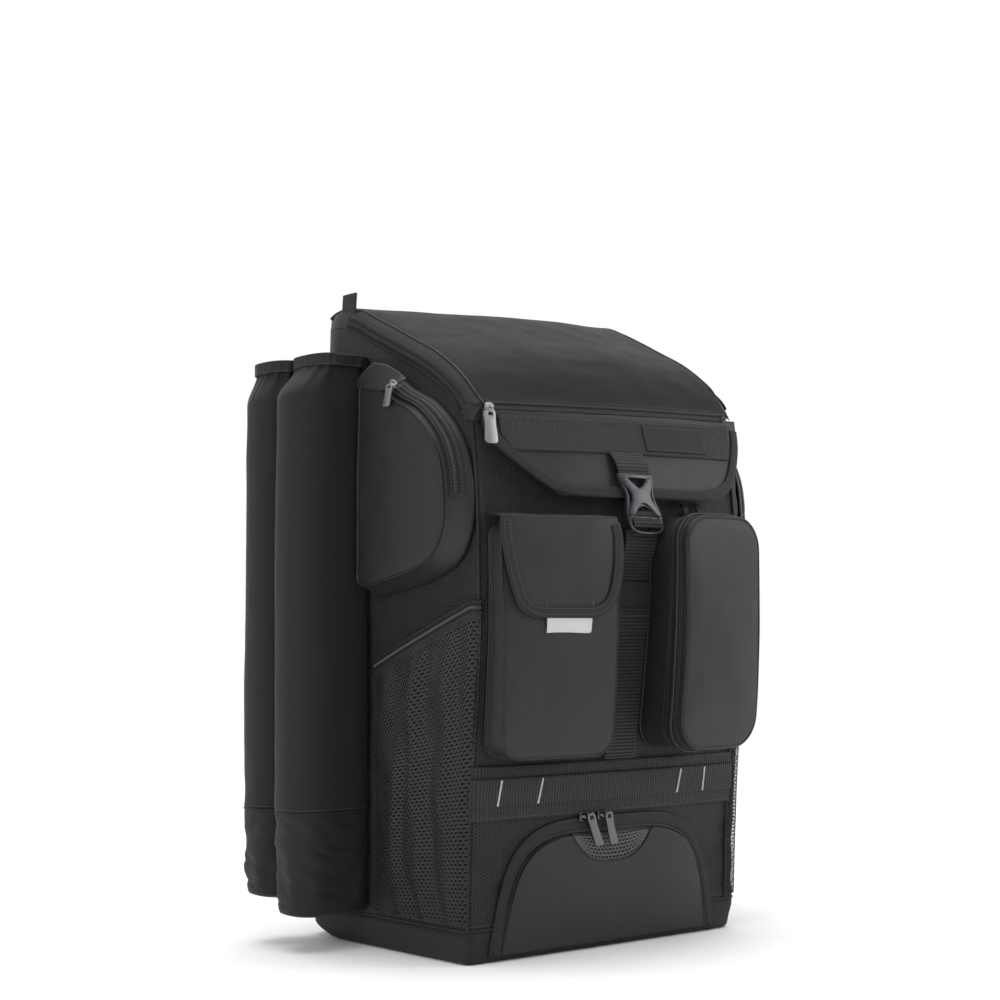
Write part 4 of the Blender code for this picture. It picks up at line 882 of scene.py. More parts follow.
def makeLid():
    def lidPlace(u, v):
        x = lidHalf * math.sin(math.pi * (u - 0.5))
        return lidSurface(x, v)

    def lidSwell(u, v, spot):
        x, y, z = spot
        edge = min(lidHalf - abs(x), 0.012) / 0.012
        roll = -lid["roll"] * (1 - math.sqrt(clamp(1 - (1 - edge) ** 2)))
        soft = ripple(x, y, z, 0.085, 1.3) * 0.0012 + ripple(x, y * 1.6, z, 0.032, 5.2) * 0.0005
        return roll + soft * soften(edge)

    # the lid top is coloured with painted shade, darker than the same coated cloth elsewhere
    top = clothGrid("lid_top", lid["columns"], lid["rows"], lidPlace, "lidClothPaintedShade", -lid["cloth"],
                    swell=lidSwell)
    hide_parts("lid_panel")

    for label, side in sides:
        def edgeRoute(t, off, side=side):
            x, y, z = lidSurface((lidHalf - 0.0008) * side, t)
            return (x + off * 0.8 * side, y, z - lid["roll"] * 0.55 + off * 0.6)

        cord("lid_welt_" + label, edgeRoute, 0.003, lid["weltRadius"])

        def coverPlace(u, v, side=side):  # the cloth that hangs from the welt over the zip
            x, y, z = lidSurface(lidHalf * side, u * lid["coverEnd"])
            begin = 0.12 + 0.88 * soften(u * 9) if side > 0 else 1.0
            down = (0.002 + lid["flapDrop"] * soften((1 - u) * 6)) * (1 - v) * begin
            spread = (half + 0.0026 - abs(x)) * soften((1 - u) * 9) * begin
            return (x + side * spread * math.sin(math.pi * 0.5 * (1 - v)), y, z - lid["roll"] * 0.6 - down)

        cover = clothGrid("lid_cover_" + label, 120, 6, coverPlace, "bindingTape", 0.0010, flip=side > 0,
                          swell=lambda u, v, spot: ripple(*spot, 0.03, 2.0) * 0.0006 * (1 - v))
        if side < 0:
            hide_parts("lid_zip_tape")

        def coverStitch(t, off, side=side):
            x, y, z = coverPlace(t, 0.75)
            return (x + side * (off + 0.0012), y, z)

        stitchRow("lid_cover_stitch_" + label, coverStitch, start=0.01, end=0.99)

        def sideZip(t, off, side=side):
            x, y, z = lidSurface(lidHalf * side, t * lid["zipEnd"])
            rim = max(rimHeight(y), flap["top"])
            high = z - lid["roll"] * 0.6 - lid["flapDrop"]
            return (side * (half + 0.0012 + off), y,
                    min(rim + slump(side * half, rim) + 0.003, high - 0.0005))

        zipLine("lid_zip_" + label, sideZip, 0.013, start=0.06 if side < 0 else 0.12, coilFinish="weltCord")

    def cornerPlace(u, v):  # closes the gap below the lid's left front corner
        return onFront(-half + 0.040 - 0.046 * u, 0.496 + 0.0165 * v, 0.0008 + 0.0022 * v)

    clothGrid("lid_corner", 40, 6, cornerPlace, "bindingTape", 0.0008, flip=True)

    def rearFoot(u):  # on the body's rim, from the left side round the back to the right side
        ring = (0.5 + lid["rearWall"] - 2 * lid["rearWall"] * u) % 1.0
        z = bag["rimBack"]
        for _ in range(3):
            z = rimHeight(ringPoint(ring, z)[1])
        x, y, _ = ringPoint(ring, z, -0.0002)
        return Vector((x, y, z - 0.003 + slump(x, z)))

    def rearHead(foot):  # on the lid's edge above it
        front, rear = lidPoint(lidHalf, 0.0)[1], backY(bag["sideHeight"])
        share = (foot.y - front) / (rear - front)
        if abs(foot.x) < half - 0.0005:
            share = max(share, 1 - clamp((abs(foot.x) - lidHalf + 0.004) / 0.02))
        return Vector(lidSurface(clamp(foot.x, -lidHalf, lidHalf), clamp(share), -lid["roll"]))

    def rearPlace(u, v):
        foot = rearFoot(u)
        spot = foot.lerp(rearHead(foot), v)
        lean = (1 - v) ** 2 * 0.5 + v * 0.5 if v < 1 else 1.0
        return (foot.x + (spot.x - foot.x) * lean, foot.y + (spot.y - foot.y) * lean, spot.z)

    clothGrid("lid_rear_wall", 170, 8, rearPlace, "honeycombCloth", -0.0012, flip=True)

    def rearWelt(t, off):
        foot = rearFoot(t)
        outward = Vector((foot.x, foot.y, 0.0)).normalized()
        return tuple(rearHead(foot) + outward * (0.0006 + off))

    cord("lid_rear_welt", rearWelt, 0.004, lid["weltRadius"])

    def frontRun(t):
        return -lidHalf + 0.001 + (lidHalf - 0.001 + lid["zipRight"]) * t

    def frontHem(t, off):
        return onFront(frontRun(t), lid["hemZ"], bag["lidOverhang"] + 0.0008 + off)

    cord("lid_front_welt", frontHem, 0.003, 0.0013)
    stitchRow("lid_front_stitch", lambda t, off: lidSurface(lidHalf * 0.97 * (2 * t - 1), 0.016, off),
              lift=0.0002)

    def frontZip(t, off):
        return onFront(frontRun(t), lid["zipZ"], flap["stand"] + flap["cloth"] - 0.0006 + off)

    zipLine("lid_front_zip", frontZip, lid["zipWide"], coil=0.0042)
    end = Vector(onFront(lid["zipRight"] - 0.004, lid["zipZ"], flap["stand"] + flap["cloth"] + 0.0006))
    makeSlider("lid_slider_right", end, (-1, 0, 0), (0.2, -1, 0), "zipCoil", (0.0072, 0.0056, 0.0030))
    print("lid made")


makeLid()


# Front flap: smooth cloth with a bound edge, a ribbed band, a plain patch and the zip puller above it

def edgeRun(edges, wide, t):  # edge of a flap from its left top round to its right top, as run and drop
    if t < 0.4:
        return (straightRow(edges, t / 0.4)[0] * wide, t / 0.4)
    if t > 0.6:
        return (straightRow(edges, (1 - t) / 0.4)[1] * wide, (1 - t) / 0.4)
    left, right = edges[-1][1:]
    return ((left + (right - left) * (t - 0.4) / 0.2) * wide, 1.0)


def smoothEdge(edges, wide, t):  # the same edge with its corners eased
    spots = [edgeRun(edges, wide, clamp(t + d, 0.0, 1.0)) for d in (-0.03, -0.015, 0.0, 0.015, 0.03)]
    return (sum(s[0] for s in spots) / 5, sum(s[1] for s in spots) / 5)


def insideEdge(edges, wide, height, t, inward):
    here = smoothEdge(edges, wide, t)
    before = smoothEdge(edges, wide, max(t - 0.01, 0.0))
    after = smoothEdge(edges, wide, min(t + 0.01, 1.0))
    dx, dz = after[0] - before[0], -(after[1] - before[1]) * height
    length = math.hypot(dx, dz)
    return (here[0] - dz / length * inward, here[1] - dx / length * inward / height)


def flapLimits(edges, wide, drop):
    left, right = easedRow(edges, drop)
    return left * wide, right * wide


def makeFlap():
    tall = flap["top"] - flap["bottom"]

    def flapPlace(u, v):
        drop = 1 - v
        left, right = flapLimits(flapEdges, half, drop)
        return onFlap(left + (right - left) * u, drop)

    def flapSwell(u, v, spot):
        x, y, z = spot
        curl = flap["curl"] * (1 - v) ** 3 * ripple(x, 0.0, 0.0, 0.06, 9.0)
        return ripple(x, y, z, 0.045, 4.0) * 0.0007 + curl

    sheet = clothGrid("flap_cloth", 120, 40, flapPlace, "coatedCloth", flap["cloth"], swell=flapSwell)
    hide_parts("front_flap")

    def bindPlace(u, v):
        run, drop = insideEdge(flapEdges, half, tall, 0.05 + 0.90 * u, flap["bindWide"] * (1 - v) - 0.0006)
        return onFlap(run, drop, flap["cloth"] + 0.0002)

    bind = clothGrid("flap_bind", 170, 4, bindPlace, "bindingTape", flap["bindThick"], flip=True,
                     swell=lambda u, v, spot: 0.0004 * math.sin(math.pi * v))
    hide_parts("flap_binding")
    for label, inward in (("outer", 0.0024), ("inner", 0.0084)):
        def bindStitch(t, off, inward=inward):
            run, drop = insideEdge(flapEdges, half, tall, 0.05 + 0.90 * t, inward)
            return onFlap(run, drop, flap["cloth"] + flap["bindThick"] + 0.0003 + off)

        stitchRow("flap_stitch_" + label, bindStitch)

    def bandPlace(u, v):
        z = flap["bandBottom"] + (flap["bandTop"] - flap["bandBottom"]) * v
        drop = (flap["top"] - z) / tall
        left, right = straightRow(flapEdges, drop)
        start, end = left * half + flap["bindWide"] * 1.4, right * half - flap["bindWide"] * 1.4
        return onFlap(start + (end - start) * u, drop, flap["cloth"] + 0.0003)

    band = clothGrid("flap_band", 120, 12, bandPlace, "ribbedWebbing", 0.0015, uvTurn=True,
                     swell=lambda u, v, spot: ripple(*spot, 0.05, 6.0) * 0.0003)
    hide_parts("webbing_band")
    for label, share in (("top", 0.94), ("bottom", 0.07)):
        def bandStitch(t, off, share=share):
            x, y, z = bandPlace(t, share)
            return (x, y - 0.0017 - off, z)

        stitchRow("flap_band_stitch_" + label, bandStitch)

    def patchPlace(u, v):
        z = (flap["bandBottom"] + flap["bandTop"]) / 2 + flap["patchTall"] * (v - 0.5)
        return onFlap(flap["patchX"] + flap["patchWide"] * (u - 0.5), (flap["top"] - z) / tall,
                      flap["cloth"] + 0.0021)

    patch = clothGrid("flap_patch", 40, 18, patchPlace, "bindingTape", 0.0009)
    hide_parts("label_patch")

    def patchEdge(t, off):
        x, y, z = patchPlace(*walkEdges(t, 0.03, 0.06))
        return (x, y - 0.0010 - off, z)

    stitchRow("flap_patch_stitch", patchEdge, pitch=0.0026)

    pullX = -half + lid["pullX"]

    def pullPlace(a, d, off):
        z = flap["top"] - 0.001 - d
        drop = (flap["top"] - z) / tall
        return onFlap(pullX + a - d * 0.02, drop, flap["cloth"] + flap["bindThick"] + 0.0022 + off - d * 0.02)

    pull = makePull("lid_pull", pullPlace, lid["pullerLong"], lid["pullerWide"], 0.0016, "satinMetal")
    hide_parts("lid_puller")
    nose = Vector(onFront(pullX, lid["zipZ"], flap["stand"] + flap["cloth"] + 0.0014))
    makeSlider("lid_slider", nose, (1, 0, 0.02), (0, -1, 0), "satinMetal")
    print("flap made")


makeFlap()


# Small tab that stands in the seam beside the lid

def makeTab():
    foot = Vector(lidSurface(-lidHalf, lid["tabShare"]))

    def tabPlace(u, v):
        lean = 0.0015 * v * v
        return (foot.x - 0.0035 + lean, lid["tabY"] + lid["tabWide"] * (0.5 - u),
                foot.z - 0.012 + (lid["tabTall"] + 0.008) * v)

    tab = clothGrid("side_tab", 20, 26, tabPlace, "plainWebbing", 0.0019,
                    swell=lambda u, v, spot: 0.0005 * math.sin(math.pi * u) * v)
    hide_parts("edge_tab")
    for label, inset in (("left", 0.08), ("right", 0.92)):
        def tabStitch(t, off, inset=inset):
            x, y, z = tabPlace(inset, 0.34 + 0.6 * t)
            return (x - 0.0021 - off, y, z)

        stitchRow("side_tab_stitch_" + label, tabStitch, pitch=0.0024)
    print("tab made")


makeTab()


# Buckle: the latch with its crossed arms, the lower bar and the webbing folded round it

buckle = {"top": 0.448, "tall": 0.044, "wide": 0.045, "x": -0.0085, "lean": 0.17, "thick": 0.0042,
          "barTall": 0.0125, "strapWide": 0.038}


def roundOff(points, times=2):
    for _ in range(times):
        cut = []
        for (ax, az), (bx, bz) in zip(points, points[1:] + points[:1]):
            cut += [(ax * 0.75 + bx * 0.25, az * 0.75 + bz * 0.25),
                    (ax * 0.25 + bx * 0.75, az * 0.25 + bz * 0.75)]
        points = cut
    return points


def mouldedPlate(name, loops, thick, edge, place):
    form = cutPlate(name, loops, thick, edge, 3, place, edge)
    return addPiece(name, form, "mouldedPlastic", 35)


def mirrorLoop(points):
    return [(-x, z) for x, z in reversed(points)]


def makeBuckle():
    wide, tall = buckle["wide"] / 2, buckle["tall"]
    tallFlap = flap["top"] - flap["bottom"]
    cover = flap["cloth"] + flap["bindThick"] + 0.0014
    faceTop = frontY(buckle["x"], buckle["top"]) - flapStand((flap["top"] - buckle["top"]) / tallFlap) - cover
    faceLow = frontY(buckle["x"], buckle["top"] - tall) - flap["stand"] - flap["lift"] - cover

    def lay(x, z, depth):  # z is 0 at the latch's lower end
        y = faceLow + (faceTop - faceLow) * clamp(z / tall, -0.4, 1.2)
        bow = 0.0012 * (1 - (x / wide) ** 2)
        return (buckle["x"] + x + buckle["lean"] * (tall - z), y - buckle["thick"] / 2 - bow - depth,
                buckle["top"] - tall + z)

    side = [(1.0, 1.0), (0.99, 0.90), (0.93, 0.76), (0.82, 0.62), (0.79, 0.50), (0.84, 0.38), (0.96, 0.22),
            (1.0, 0.10), (1.0, 0.0)]
    low = [(0.80, 0.0), (0.62, 0.06), (0.30, 0.24), (0.0, 0.29)]
    ring = side + low + mirrorLoop(side + low[:-1])
    outline = roundOff([(x * wide, z * tall) for x, z in ring], 2)
    topHole = [(-0.60, 0.89), (0.60, 0.89), (0.62, 0.84), (0.34, 0.71), (0.0, 0.63), (-0.34, 0.71),
               (-0.62, 0.84)]
    sideHole = [(0.74, 0.76), (0.80, 0.74), (0.70, 0.62), (0.66, 0.50), (0.71, 0.38), (0.84, 0.20),
                (0.76, 0.18), (0.40, 0.42), (0.34, 0.50), (0.40, 0.57)]
    holes = [roundOff([(x * wide, z * tall) for x, z in hole], 2)
             for hole in (topHole, sideHole, mirrorLoop(sideHole))]
    frameHalf = mouldedPlate("buckle_frame", [outline] + holes, buckle["thick"], 0.0009, lay)
    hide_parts("buckle_latch")
    arms = [(0.74, 0.97), (1.00, 0.82), (0.40, 0.50), (1.00, 0.17), (0.78, 0.0), (0.27, 0.29), (0.0, 0.35)]
    cross = [(0.26, 0.73)] + arms + mirrorLoop(arms[:-1]) + [(-0.26, 0.73), (0.0, 0.67)]
    crossLoop = roundOff([(x * wide, z * tall) for x, z in cross], 2)
    mouldedPlate("buckle_cross", [crossLoop], 0.0044, 0.0014, lambda x, z, d: lay(x, z, d + 0.0016))

    bar = buckle["barTall"]
    outer = roundOff([(-wide, -bar), (wide, -bar), (wide, 0.006), (wide * 0.84, 0.006),
                      (-wide * 0.84, 0.006), (-wide, 0.006)], 2)
    inner = roundOff([(-wide * 0.84, -bar + 0.0026), (wide * 0.84, -bar + 0.0026), (wide * 0.84, 0.0015),
                      (-wide * 0.84, 0.0015)], 2)
    barPiece = mouldedPlate("buckle_lower_bar", [outer, inner], 0.0042, 0.0010,
                            lambda x, z, d: lay(x, z - 0.002, d - 0.0004))
    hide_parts("buckle_bar")

    def foldPlace(u, v):  # webbing that comes up behind the bar and folds over it
        turn = math.pi * (v * 1.5 - 0.35)
        x = wide * 0.80 * (2 * u - 1)
        return lay(x, -0.0035 + 0.0042 * math.sin(turn), 0.0026 * math.cos(turn) - 0.0002)

    clothGrid("buckle_fold", 30, 24, foldPlace, "ribbedWebbing", 0.0008)
    hem = layRoute(lambda t, off: lay(wide * 0.78 * (2 * t - 1), 0.0052, 0.0012 + off), 0.002)
    sweep("buckle_fold_hem", hem, bandProfile(0.0052, 0.0014), "ribbedWebbing")

    strapTop = flap["bandBottom"] + 0.002

    def strapPlace(u, v):
        z = buckle["top"] - 0.0035 + (strapTop - buckle["top"] + 0.0035) * v
        lean = (1 - v) * 0.0035
        x = buckle["x"] - 0.002 + lean + buckle["strapWide"] * (u - 0.5) * (1.0 + 0.10 * v)
        arch = 0.0026 * math.sin(math.pi * clamp(1 - v * 1.1))
        return onFlap(x, (flap["top"] - z) / tallFlap, flap["cloth"] + 0.0012 + arch + 0.0014 * (1 - v))

    strap = clothGrid("buckle_web", 30, 24, strapPlace, "ribbedWebbing", 0.0016)
    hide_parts("buckle_strap")
    print("buckle made")


makeBuckle()


# Webbing down the middle and the two bands across the front

front = {"stripWide": 0.040, "stripX": -0.002, "stripTop": 0.394, "keeperTop": 0.346, "keeperMid": 0.322,
         "keeperBottom": 0.296, "wideTop": 0.177, "wideBottom": 0.128, "narrowTop": 0.166,
         "narrowBottom": 0.140, "leftEnd": 0.1745, "rightEnd": 0.159, "web": 0.0014, "stitchInset": 0.002,
         "loopX": (0.072, 0.093), "loopWide": 0.008, "loopLow": 0.4095, "loopTall": 0.0125,
         "loopStand": 0.0035}
barTacks = [(-0.1475, 0.0032), (-0.1010, 0.0040), (0.0785, 0.0036), (0.1155, 0.0012)]  # place, lean


def makeFrontWebbing():
    def stripOff(z):
        return 0.0006 + 0.0118 * soften((z - 0.350) / 0.040)

    def stripPlace(u, v):
        z = front["wideTop"] + 0.001 + (front["stripTop"] - front["wideTop"] - 0.001) * v
        return onFront(front["stripX"] + front["stripWide"] * (u - 0.5), z, stripOff(z))

    strip = clothGrid("middle_web", 14, 120, stripPlace, "ribbedWebbing", front["web"])
    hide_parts("centre_strip")

    def overPlace(u, v):  # plain doubled web over the strip
        z = front["keeperMid"] - 0.002 + (front["keeperTop"] - front["keeperMid"] + 0.002) * v
        return onFront(front["stripX"] + front["stripWide"] * 1.01 * (u - 0.5), z,
                       stripOff(z) + front["web"] + 0.0003)

    clothGrid("middle_cover", 20, 16, overPlace, "plainWebbing", 0.0011)

    def loopPlace(u, v):  # loop that stands off the strip between its stitched ends
        z = front["keeperBottom"] + (front["keeperMid"] - front["keeperBottom"]) * v
        arch = 0.0020 * math.sin(math.pi * clamp(v * 1.5)) if v < 0.66 else 0.0
        return onFront(front["stripX"] + front["stripWide"] * 0.99 * (u - 0.5), z,
                       stripOff(z) + front["web"] + 0.0004 + arch)

    loop = clothGrid("middle_loop", 20, 30, loopPlace, "ribbedWebbing", 0.0014)
    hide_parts("strip_keeper")

    def loopStitch(t, off):
        z = front["keeperBottom"] + (front["keeperMid"] - front["keeperBottom"]) * 0.66
        return onFront(front["stripX"] + front["stripWide"] * 0.94 * (t - 0.5), z,
                       stripOff(z) + front["web"] + 0.0022 + off)

    stitchRow("middle_loop_stitch", loopStitch, finish="windowCord", pitch=0.0024)

    def bandSwell(u, v, spot):
        return 0.0002 * math.sin(math.pi * v) + ripple(*spot, 0.03, 8.0) * 0.0002

    def bandAt(name, low, high, off):
        def place(u, v):
            return onFront(span * u - front["leftEnd"], low + (high - low) * v, off)

        return clothGrid(name, 150, 10, place, "ribbedWebbing", front["web"], uvTurn=True, swell=bandSwell)

    span = front["leftEnd"] + front["rightEnd"]
    wide = bandAt("wide_web", front["wideBottom"], front["wideTop"], 0.0007)
    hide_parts("wide_band")
    narrow = bandAt("narrow_web", front["narrowBottom"], front["narrowTop"], 0.0026)
    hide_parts("daisy_band")
    for label, z in (("top", front["wideTop"] - front["stitchInset"]),
                     ("low", front["wideBottom"] + front["stitchInset"])):
        def bandStitch(t, off, z=z):
            return onFront((span * t - front["leftEnd"]) * 0.99, z, 0.0023 + off)

        stitchRow("band_stitch_wide_" + label, bandStitch)
    for k, (x, lean) in enumerate(barTacks):
        def tackRoute(t, off, x=x, lean=lean):
            z = front["narrowBottom"] + 0.0015 + (front["narrowTop"] - front["narrowBottom"] - 0.004) * t
            return onFront(x + lean * t, z, 0.0043 + off)

        scatter("bar_tack_%d" % (k + 1), layRoute(tackRoute, 0.0011), (0.0009, 0.0021, 0.0010),
                "whiteThread", toothShape, lean=0.35)
    for k, x in enumerate(front["loopX"]):
        def hangPlace(u, v, x=x):
            arch = math.sin(math.pi * v)
            z = front["loopLow"] + front["loopTall"] * v
            return onFront(x + front["loopWide"] * (u - 0.5), z, 0.0002 + front["loopStand"] * arch)

        loopPiece = clothGrid("hang_loop_%d" % (k + 1), 6, 16, hangPlace, "plainWebbing", 0.0013)
        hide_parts(("hanging_loop_inner", "hanging_loop_outer")[k])
    print("front webbing made")


makeFrontWebbing()


# Pockets: a gusset wall that stands off the bag, a welt round the edge and a puffed face

def roundedOutline(wide, tall, radius):
    # starts at the middle of the right side and goes up
    points = []
    for cx, cz, start in ((1, 1, 0), (-1, 1, 90), (-1, -1, 180), (1, -1, 270)):
        for k in range(13):
            angle = math.radians(start + 90 * k / 12)
            points.append((cx * (wide / 2 - radius) + radius * math.cos(angle),
                           cz * (tall / 2 - radius) + radius * math.sin(angle)))
    points = [(wide / 2, 0.0)] + points + [(wide / 2, 0.0)]
    return evenOutline([Vector((a, b, 0.0)) for a, b in points])


def leanIn(slope, a, b, rise):
    amount, pivotA, pivotB = slope
    keep = 1 - amount * soften(rise)
    return pivotA + (a - pivotA) * keep, pivotB + (b - pivotB) * keep


def pocketForm(name, outline, centre, deep, setPoint, finish, edge=0.004, crown=0.05, columns=130,
               wallRows=10, faceRows=22, flip=False, dent=0.0008, waist=0.0, seed=0.0, slope=None):
    # rows climb the wall, turn over the edge and close over the face
    rows = [(0.0, 0.0, k / wallRows * (1 - edge / deep)) for k in range(wallRows + 1)]
    rows += [(edge * (1 - math.cos(math.pi / 2 * k / 5)), 0.0,
              1 - edge / deep * (1 - math.sin(math.pi / 2 * k / 5))) for k in range(1, 6)]
    rows += [(edge, (k / faceRows) ** 0.9, 1.0) for k in range(1, faceRows + 1)]
    form = bmesh.new()
    uvLayer = form.loops.layers.uv.new("UVMap")
    grid, marks = [], []
    for inset, middle, rise in rows:
        line, mark = [], []
        for i in range(columns):
            a, b = outline(i / columns)
            length = math.hypot(a, b)
            pinch = waist * math.sin(math.pi * clamp(rise)) if middle == 0 else 0.0
            keep = (1 - (inset + pinch) / length) * (1 - middle)
            a, b = a * keep, b * keep
            if slope:  # the wall leans in towards a pivot
                a, b = leanIn(slope, a, b, rise)
            p, q = centre[0] + a, centre[1] + b
            height = gap * 2 + deep * (rise + crown * (1 - (1 - middle) ** 2.2 if middle else 0.0))
            if middle:
                height += dent * (ripple(p, q, 0.0, 0.055, seed)
                                  + 0.5 * ripple(p, q, 0.0, 0.022, seed + 3)) * soften(middle * 5)
            line.append(form.verts.new(setPoint(p, q, height)))
            mark.append((p, q))
        grid.append(line)
        marks.append(mark)
    around = [i / columns * 0.62 for i in range(columns + 1)]
    for j in range(len(rows) - 1):
        wall = j < wallRows + 2
        for i in range(columns):
            k = (i + 1) % columns
            corners = [(grid[j][i], j, i, around[i]), (grid[j][k], j, k, around[i + 1]),
                       (grid[j + 1][k], j + 1, k, around[i + 1]), (grid[j + 1][i], j + 1, i, around[i])]
            if flip:
                corners.reverse()
            face = form.faces.new([c[0] for c in corners])
            for loop, (vert, row, column, run) in zip(face.loops, corners):
                loop[uvLayer].uv = (run, rows[row][2] * deep) if wall else marks[row][column]
    bmesh.ops.remove_doubles(form, verts=form.verts, dist=0.00002)
    piece = addPiece(name, form, finish, 50)
    thicken(piece, -0.0014)
    return piece


def pocketEdge(outline, centre, deep, setPoint, share, inset=0.0, slope=None):
    # a route round a pocket at a share of its depth
    def route(t, off):
        a, b = outline(t)
        length = math.hypot(a, b)
        keep = 1 + off / length - inset / length
        a, b = a * keep, b * keep
        if slope:
            a, b = leanIn(slope, a, b, share)
        return setPoint(centre[0] + a, centre[1] + b, gap * 2 + deep * share + off * 0.8)

    return route


flapPocket = {"x": -0.103, "wide": 0.124, "bottom": 0.184, "tall": 0.218, "deep": 0.024, "round": 0.019,
              "drop": 0.092, "tabX": 0.004, "tabWide": 0.048, "tabTall": 0.017, "seamX": 0.025,
              "welt": 0.0016}
pocketFlapEdges = [  # drop, left, right, as shares of the pocket's half width
    (0.00, -1.020, 0.940), (0.12, -1.030, 1.000), (0.25, -1.020, 1.010), (0.50, -0.960, 1.000),
    (0.75, -0.870, 0.930), (0.92, -0.760, 0.790), (1.00, -0.560, 0.600),
]


def sagOut(k):  # a full pocket stands further out towards its foot
    return lambda p, q, off: onFront(p, q, off * (1 + k * soften((0.37 - q) / 0.17)))


def makeFlapPocket():
    onBag = sagOut(0.30)
    centre = (flapPocket["x"], flapPocket["bottom"] + flapPocket["tall"] / 2)
    outline = roundedOutline(flapPocket["wide"], flapPocket["tall"], flapPocket["round"])
    shell = pocketForm("flap_pocket_shell", outline, centre, flapPocket["deep"], onBag, "coatedCloth",
                       edge=0.0030, crown=0.045, seed=11.0)
    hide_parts("flap_pocket")

    def edgeAt(share, inset=0.0):
        return pocketEdge(outline, centre, flapPocket["deep"], onBag, share, inset)

    cord("flap_pocket_welt", edgeAt(0.955, 0.0006), 0.003, flapPocket["welt"], closed=True)
    cord("flap_pocket_foot", edgeAt(0.03), 0.003, 0.0012, sides=6, closed=True)
    stitchRow("flap_pocket_foot_stitch", edgeAt(0.16), closed=True)

    top = flapPocket["bottom"] + flapPocket["tall"] + gap * 3
    wide, drop = flapPocket["wide"] / 2, flapPocket["drop"]
    faceOff = flapPocket["deep"] * 1.05 + 0.0012

    # down is a share of the drop, below zero where the flap turns over the pocket's top
    def overFace(x, down, off):
        if down < 0:
            turn = clamp(1 + down / 0.14)
            rise = math.sin(math.pi / 2 * turn)
            return onBag(x, top + 0.0035 * (1 - turn) ** 2 + off * (1 - turn),
                         (faceOff - 0.0008) * rise + 0.0008 + off * turn)
        return onBag(x, top - drop * down, faceOff + off + 0.0012 * math.sin(math.pi * down))

    def flapPlace(u, v):
        down = (1 - v) * 1.14 - 0.14
        left, right = easedRow(pocketFlapEdges, max(down, 0.0))
        return overFace(flapPocket["x"] + (left + (right - left) * u) * wide, down, 0.0)

    sheet = clothGrid("pocket_flap_cloth", 64, 72, flapPlace, "coatedCloth", 0.0018,
                      swell=lambda u, v, spot: 0.0008 * ripple(*spot, 0.035, 12.0) * soften(v * 6))
    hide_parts("pocket_flap")

    def bindPlace(u, v):
        t = 0.015 + 0.97 * u
        run, down = insideEdge(pocketFlapEdges, wide, drop, t, 0.0100 * (1 - v) - 0.0006)
        return overFace(flapPocket["x"] + run, down, 0.0020)

    bind = clothGrid("pocket_flap_bind", 150, 4, bindPlace, "bindingTape", 0.0011, flip=True,
                     swell=lambda u, v, spot: 0.0004 * math.sin(math.pi * v))
    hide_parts("pocket_flap_binding")
    for label, inward in (("outer", 0.0024), ("inner", 0.0080)):
        def bindStitch(t, off, inward=inward):
            run, down = insideEdge(pocketFlapEdges, wide, drop, 0.015 + 0.97 * t, inward)
            return overFace(flapPocket["x"] + run, down, 0.0034 + off)

        stitchRow("pocket_flap_stitch_" + label, bindStitch)

    for label, side in sides:  # short seams beside the pull tab
        def seam(t, off, side=side):
            x = flapPocket["x"] + flapPocket["tabX"] + flapPocket["seamX"] * side
            return overFace(x, 0.83 + 0.10 * t, 0.0020 + off)

        cord("pocket_flap_seam_" + label, seam, 0.002, 0.0004, sides=6, finish="darkThread")

    def tabPlace(u, v):  # folded silver tape below the flap's edge
        turn = v * 2 - 1
        fold = math.sqrt(clamp(1 - (2 * abs(turn) - 1) ** 2)) if abs(turn) < 0.5 else 1.0
        down = 0.925 + (flapPocket["tabTall"] / drop) * (1 - abs(turn)) * 1.25
        x = flapPocket["x"] + flapPocket["tabX"] + flapPocket["tabWide"] * (0.5 - u)
        return overFace(x, down, 0.0004 + 0.0011 * (turn + 1) * fold)

    tab = clothGrid("pull_tab", 24, 24, tabPlace, "silverTape", 0.0006)
    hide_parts("pocket_pull_tab")
    print("flap pocket made")


makeFlapPocket()


zipPocket = {"x": 0.0720, "wide": 0.104, "bottom": 0.186, "tall": 0.222, "deep": 0.050, "round": 0.029,
             "welt": 0.0019, "zipAt": 0.70}


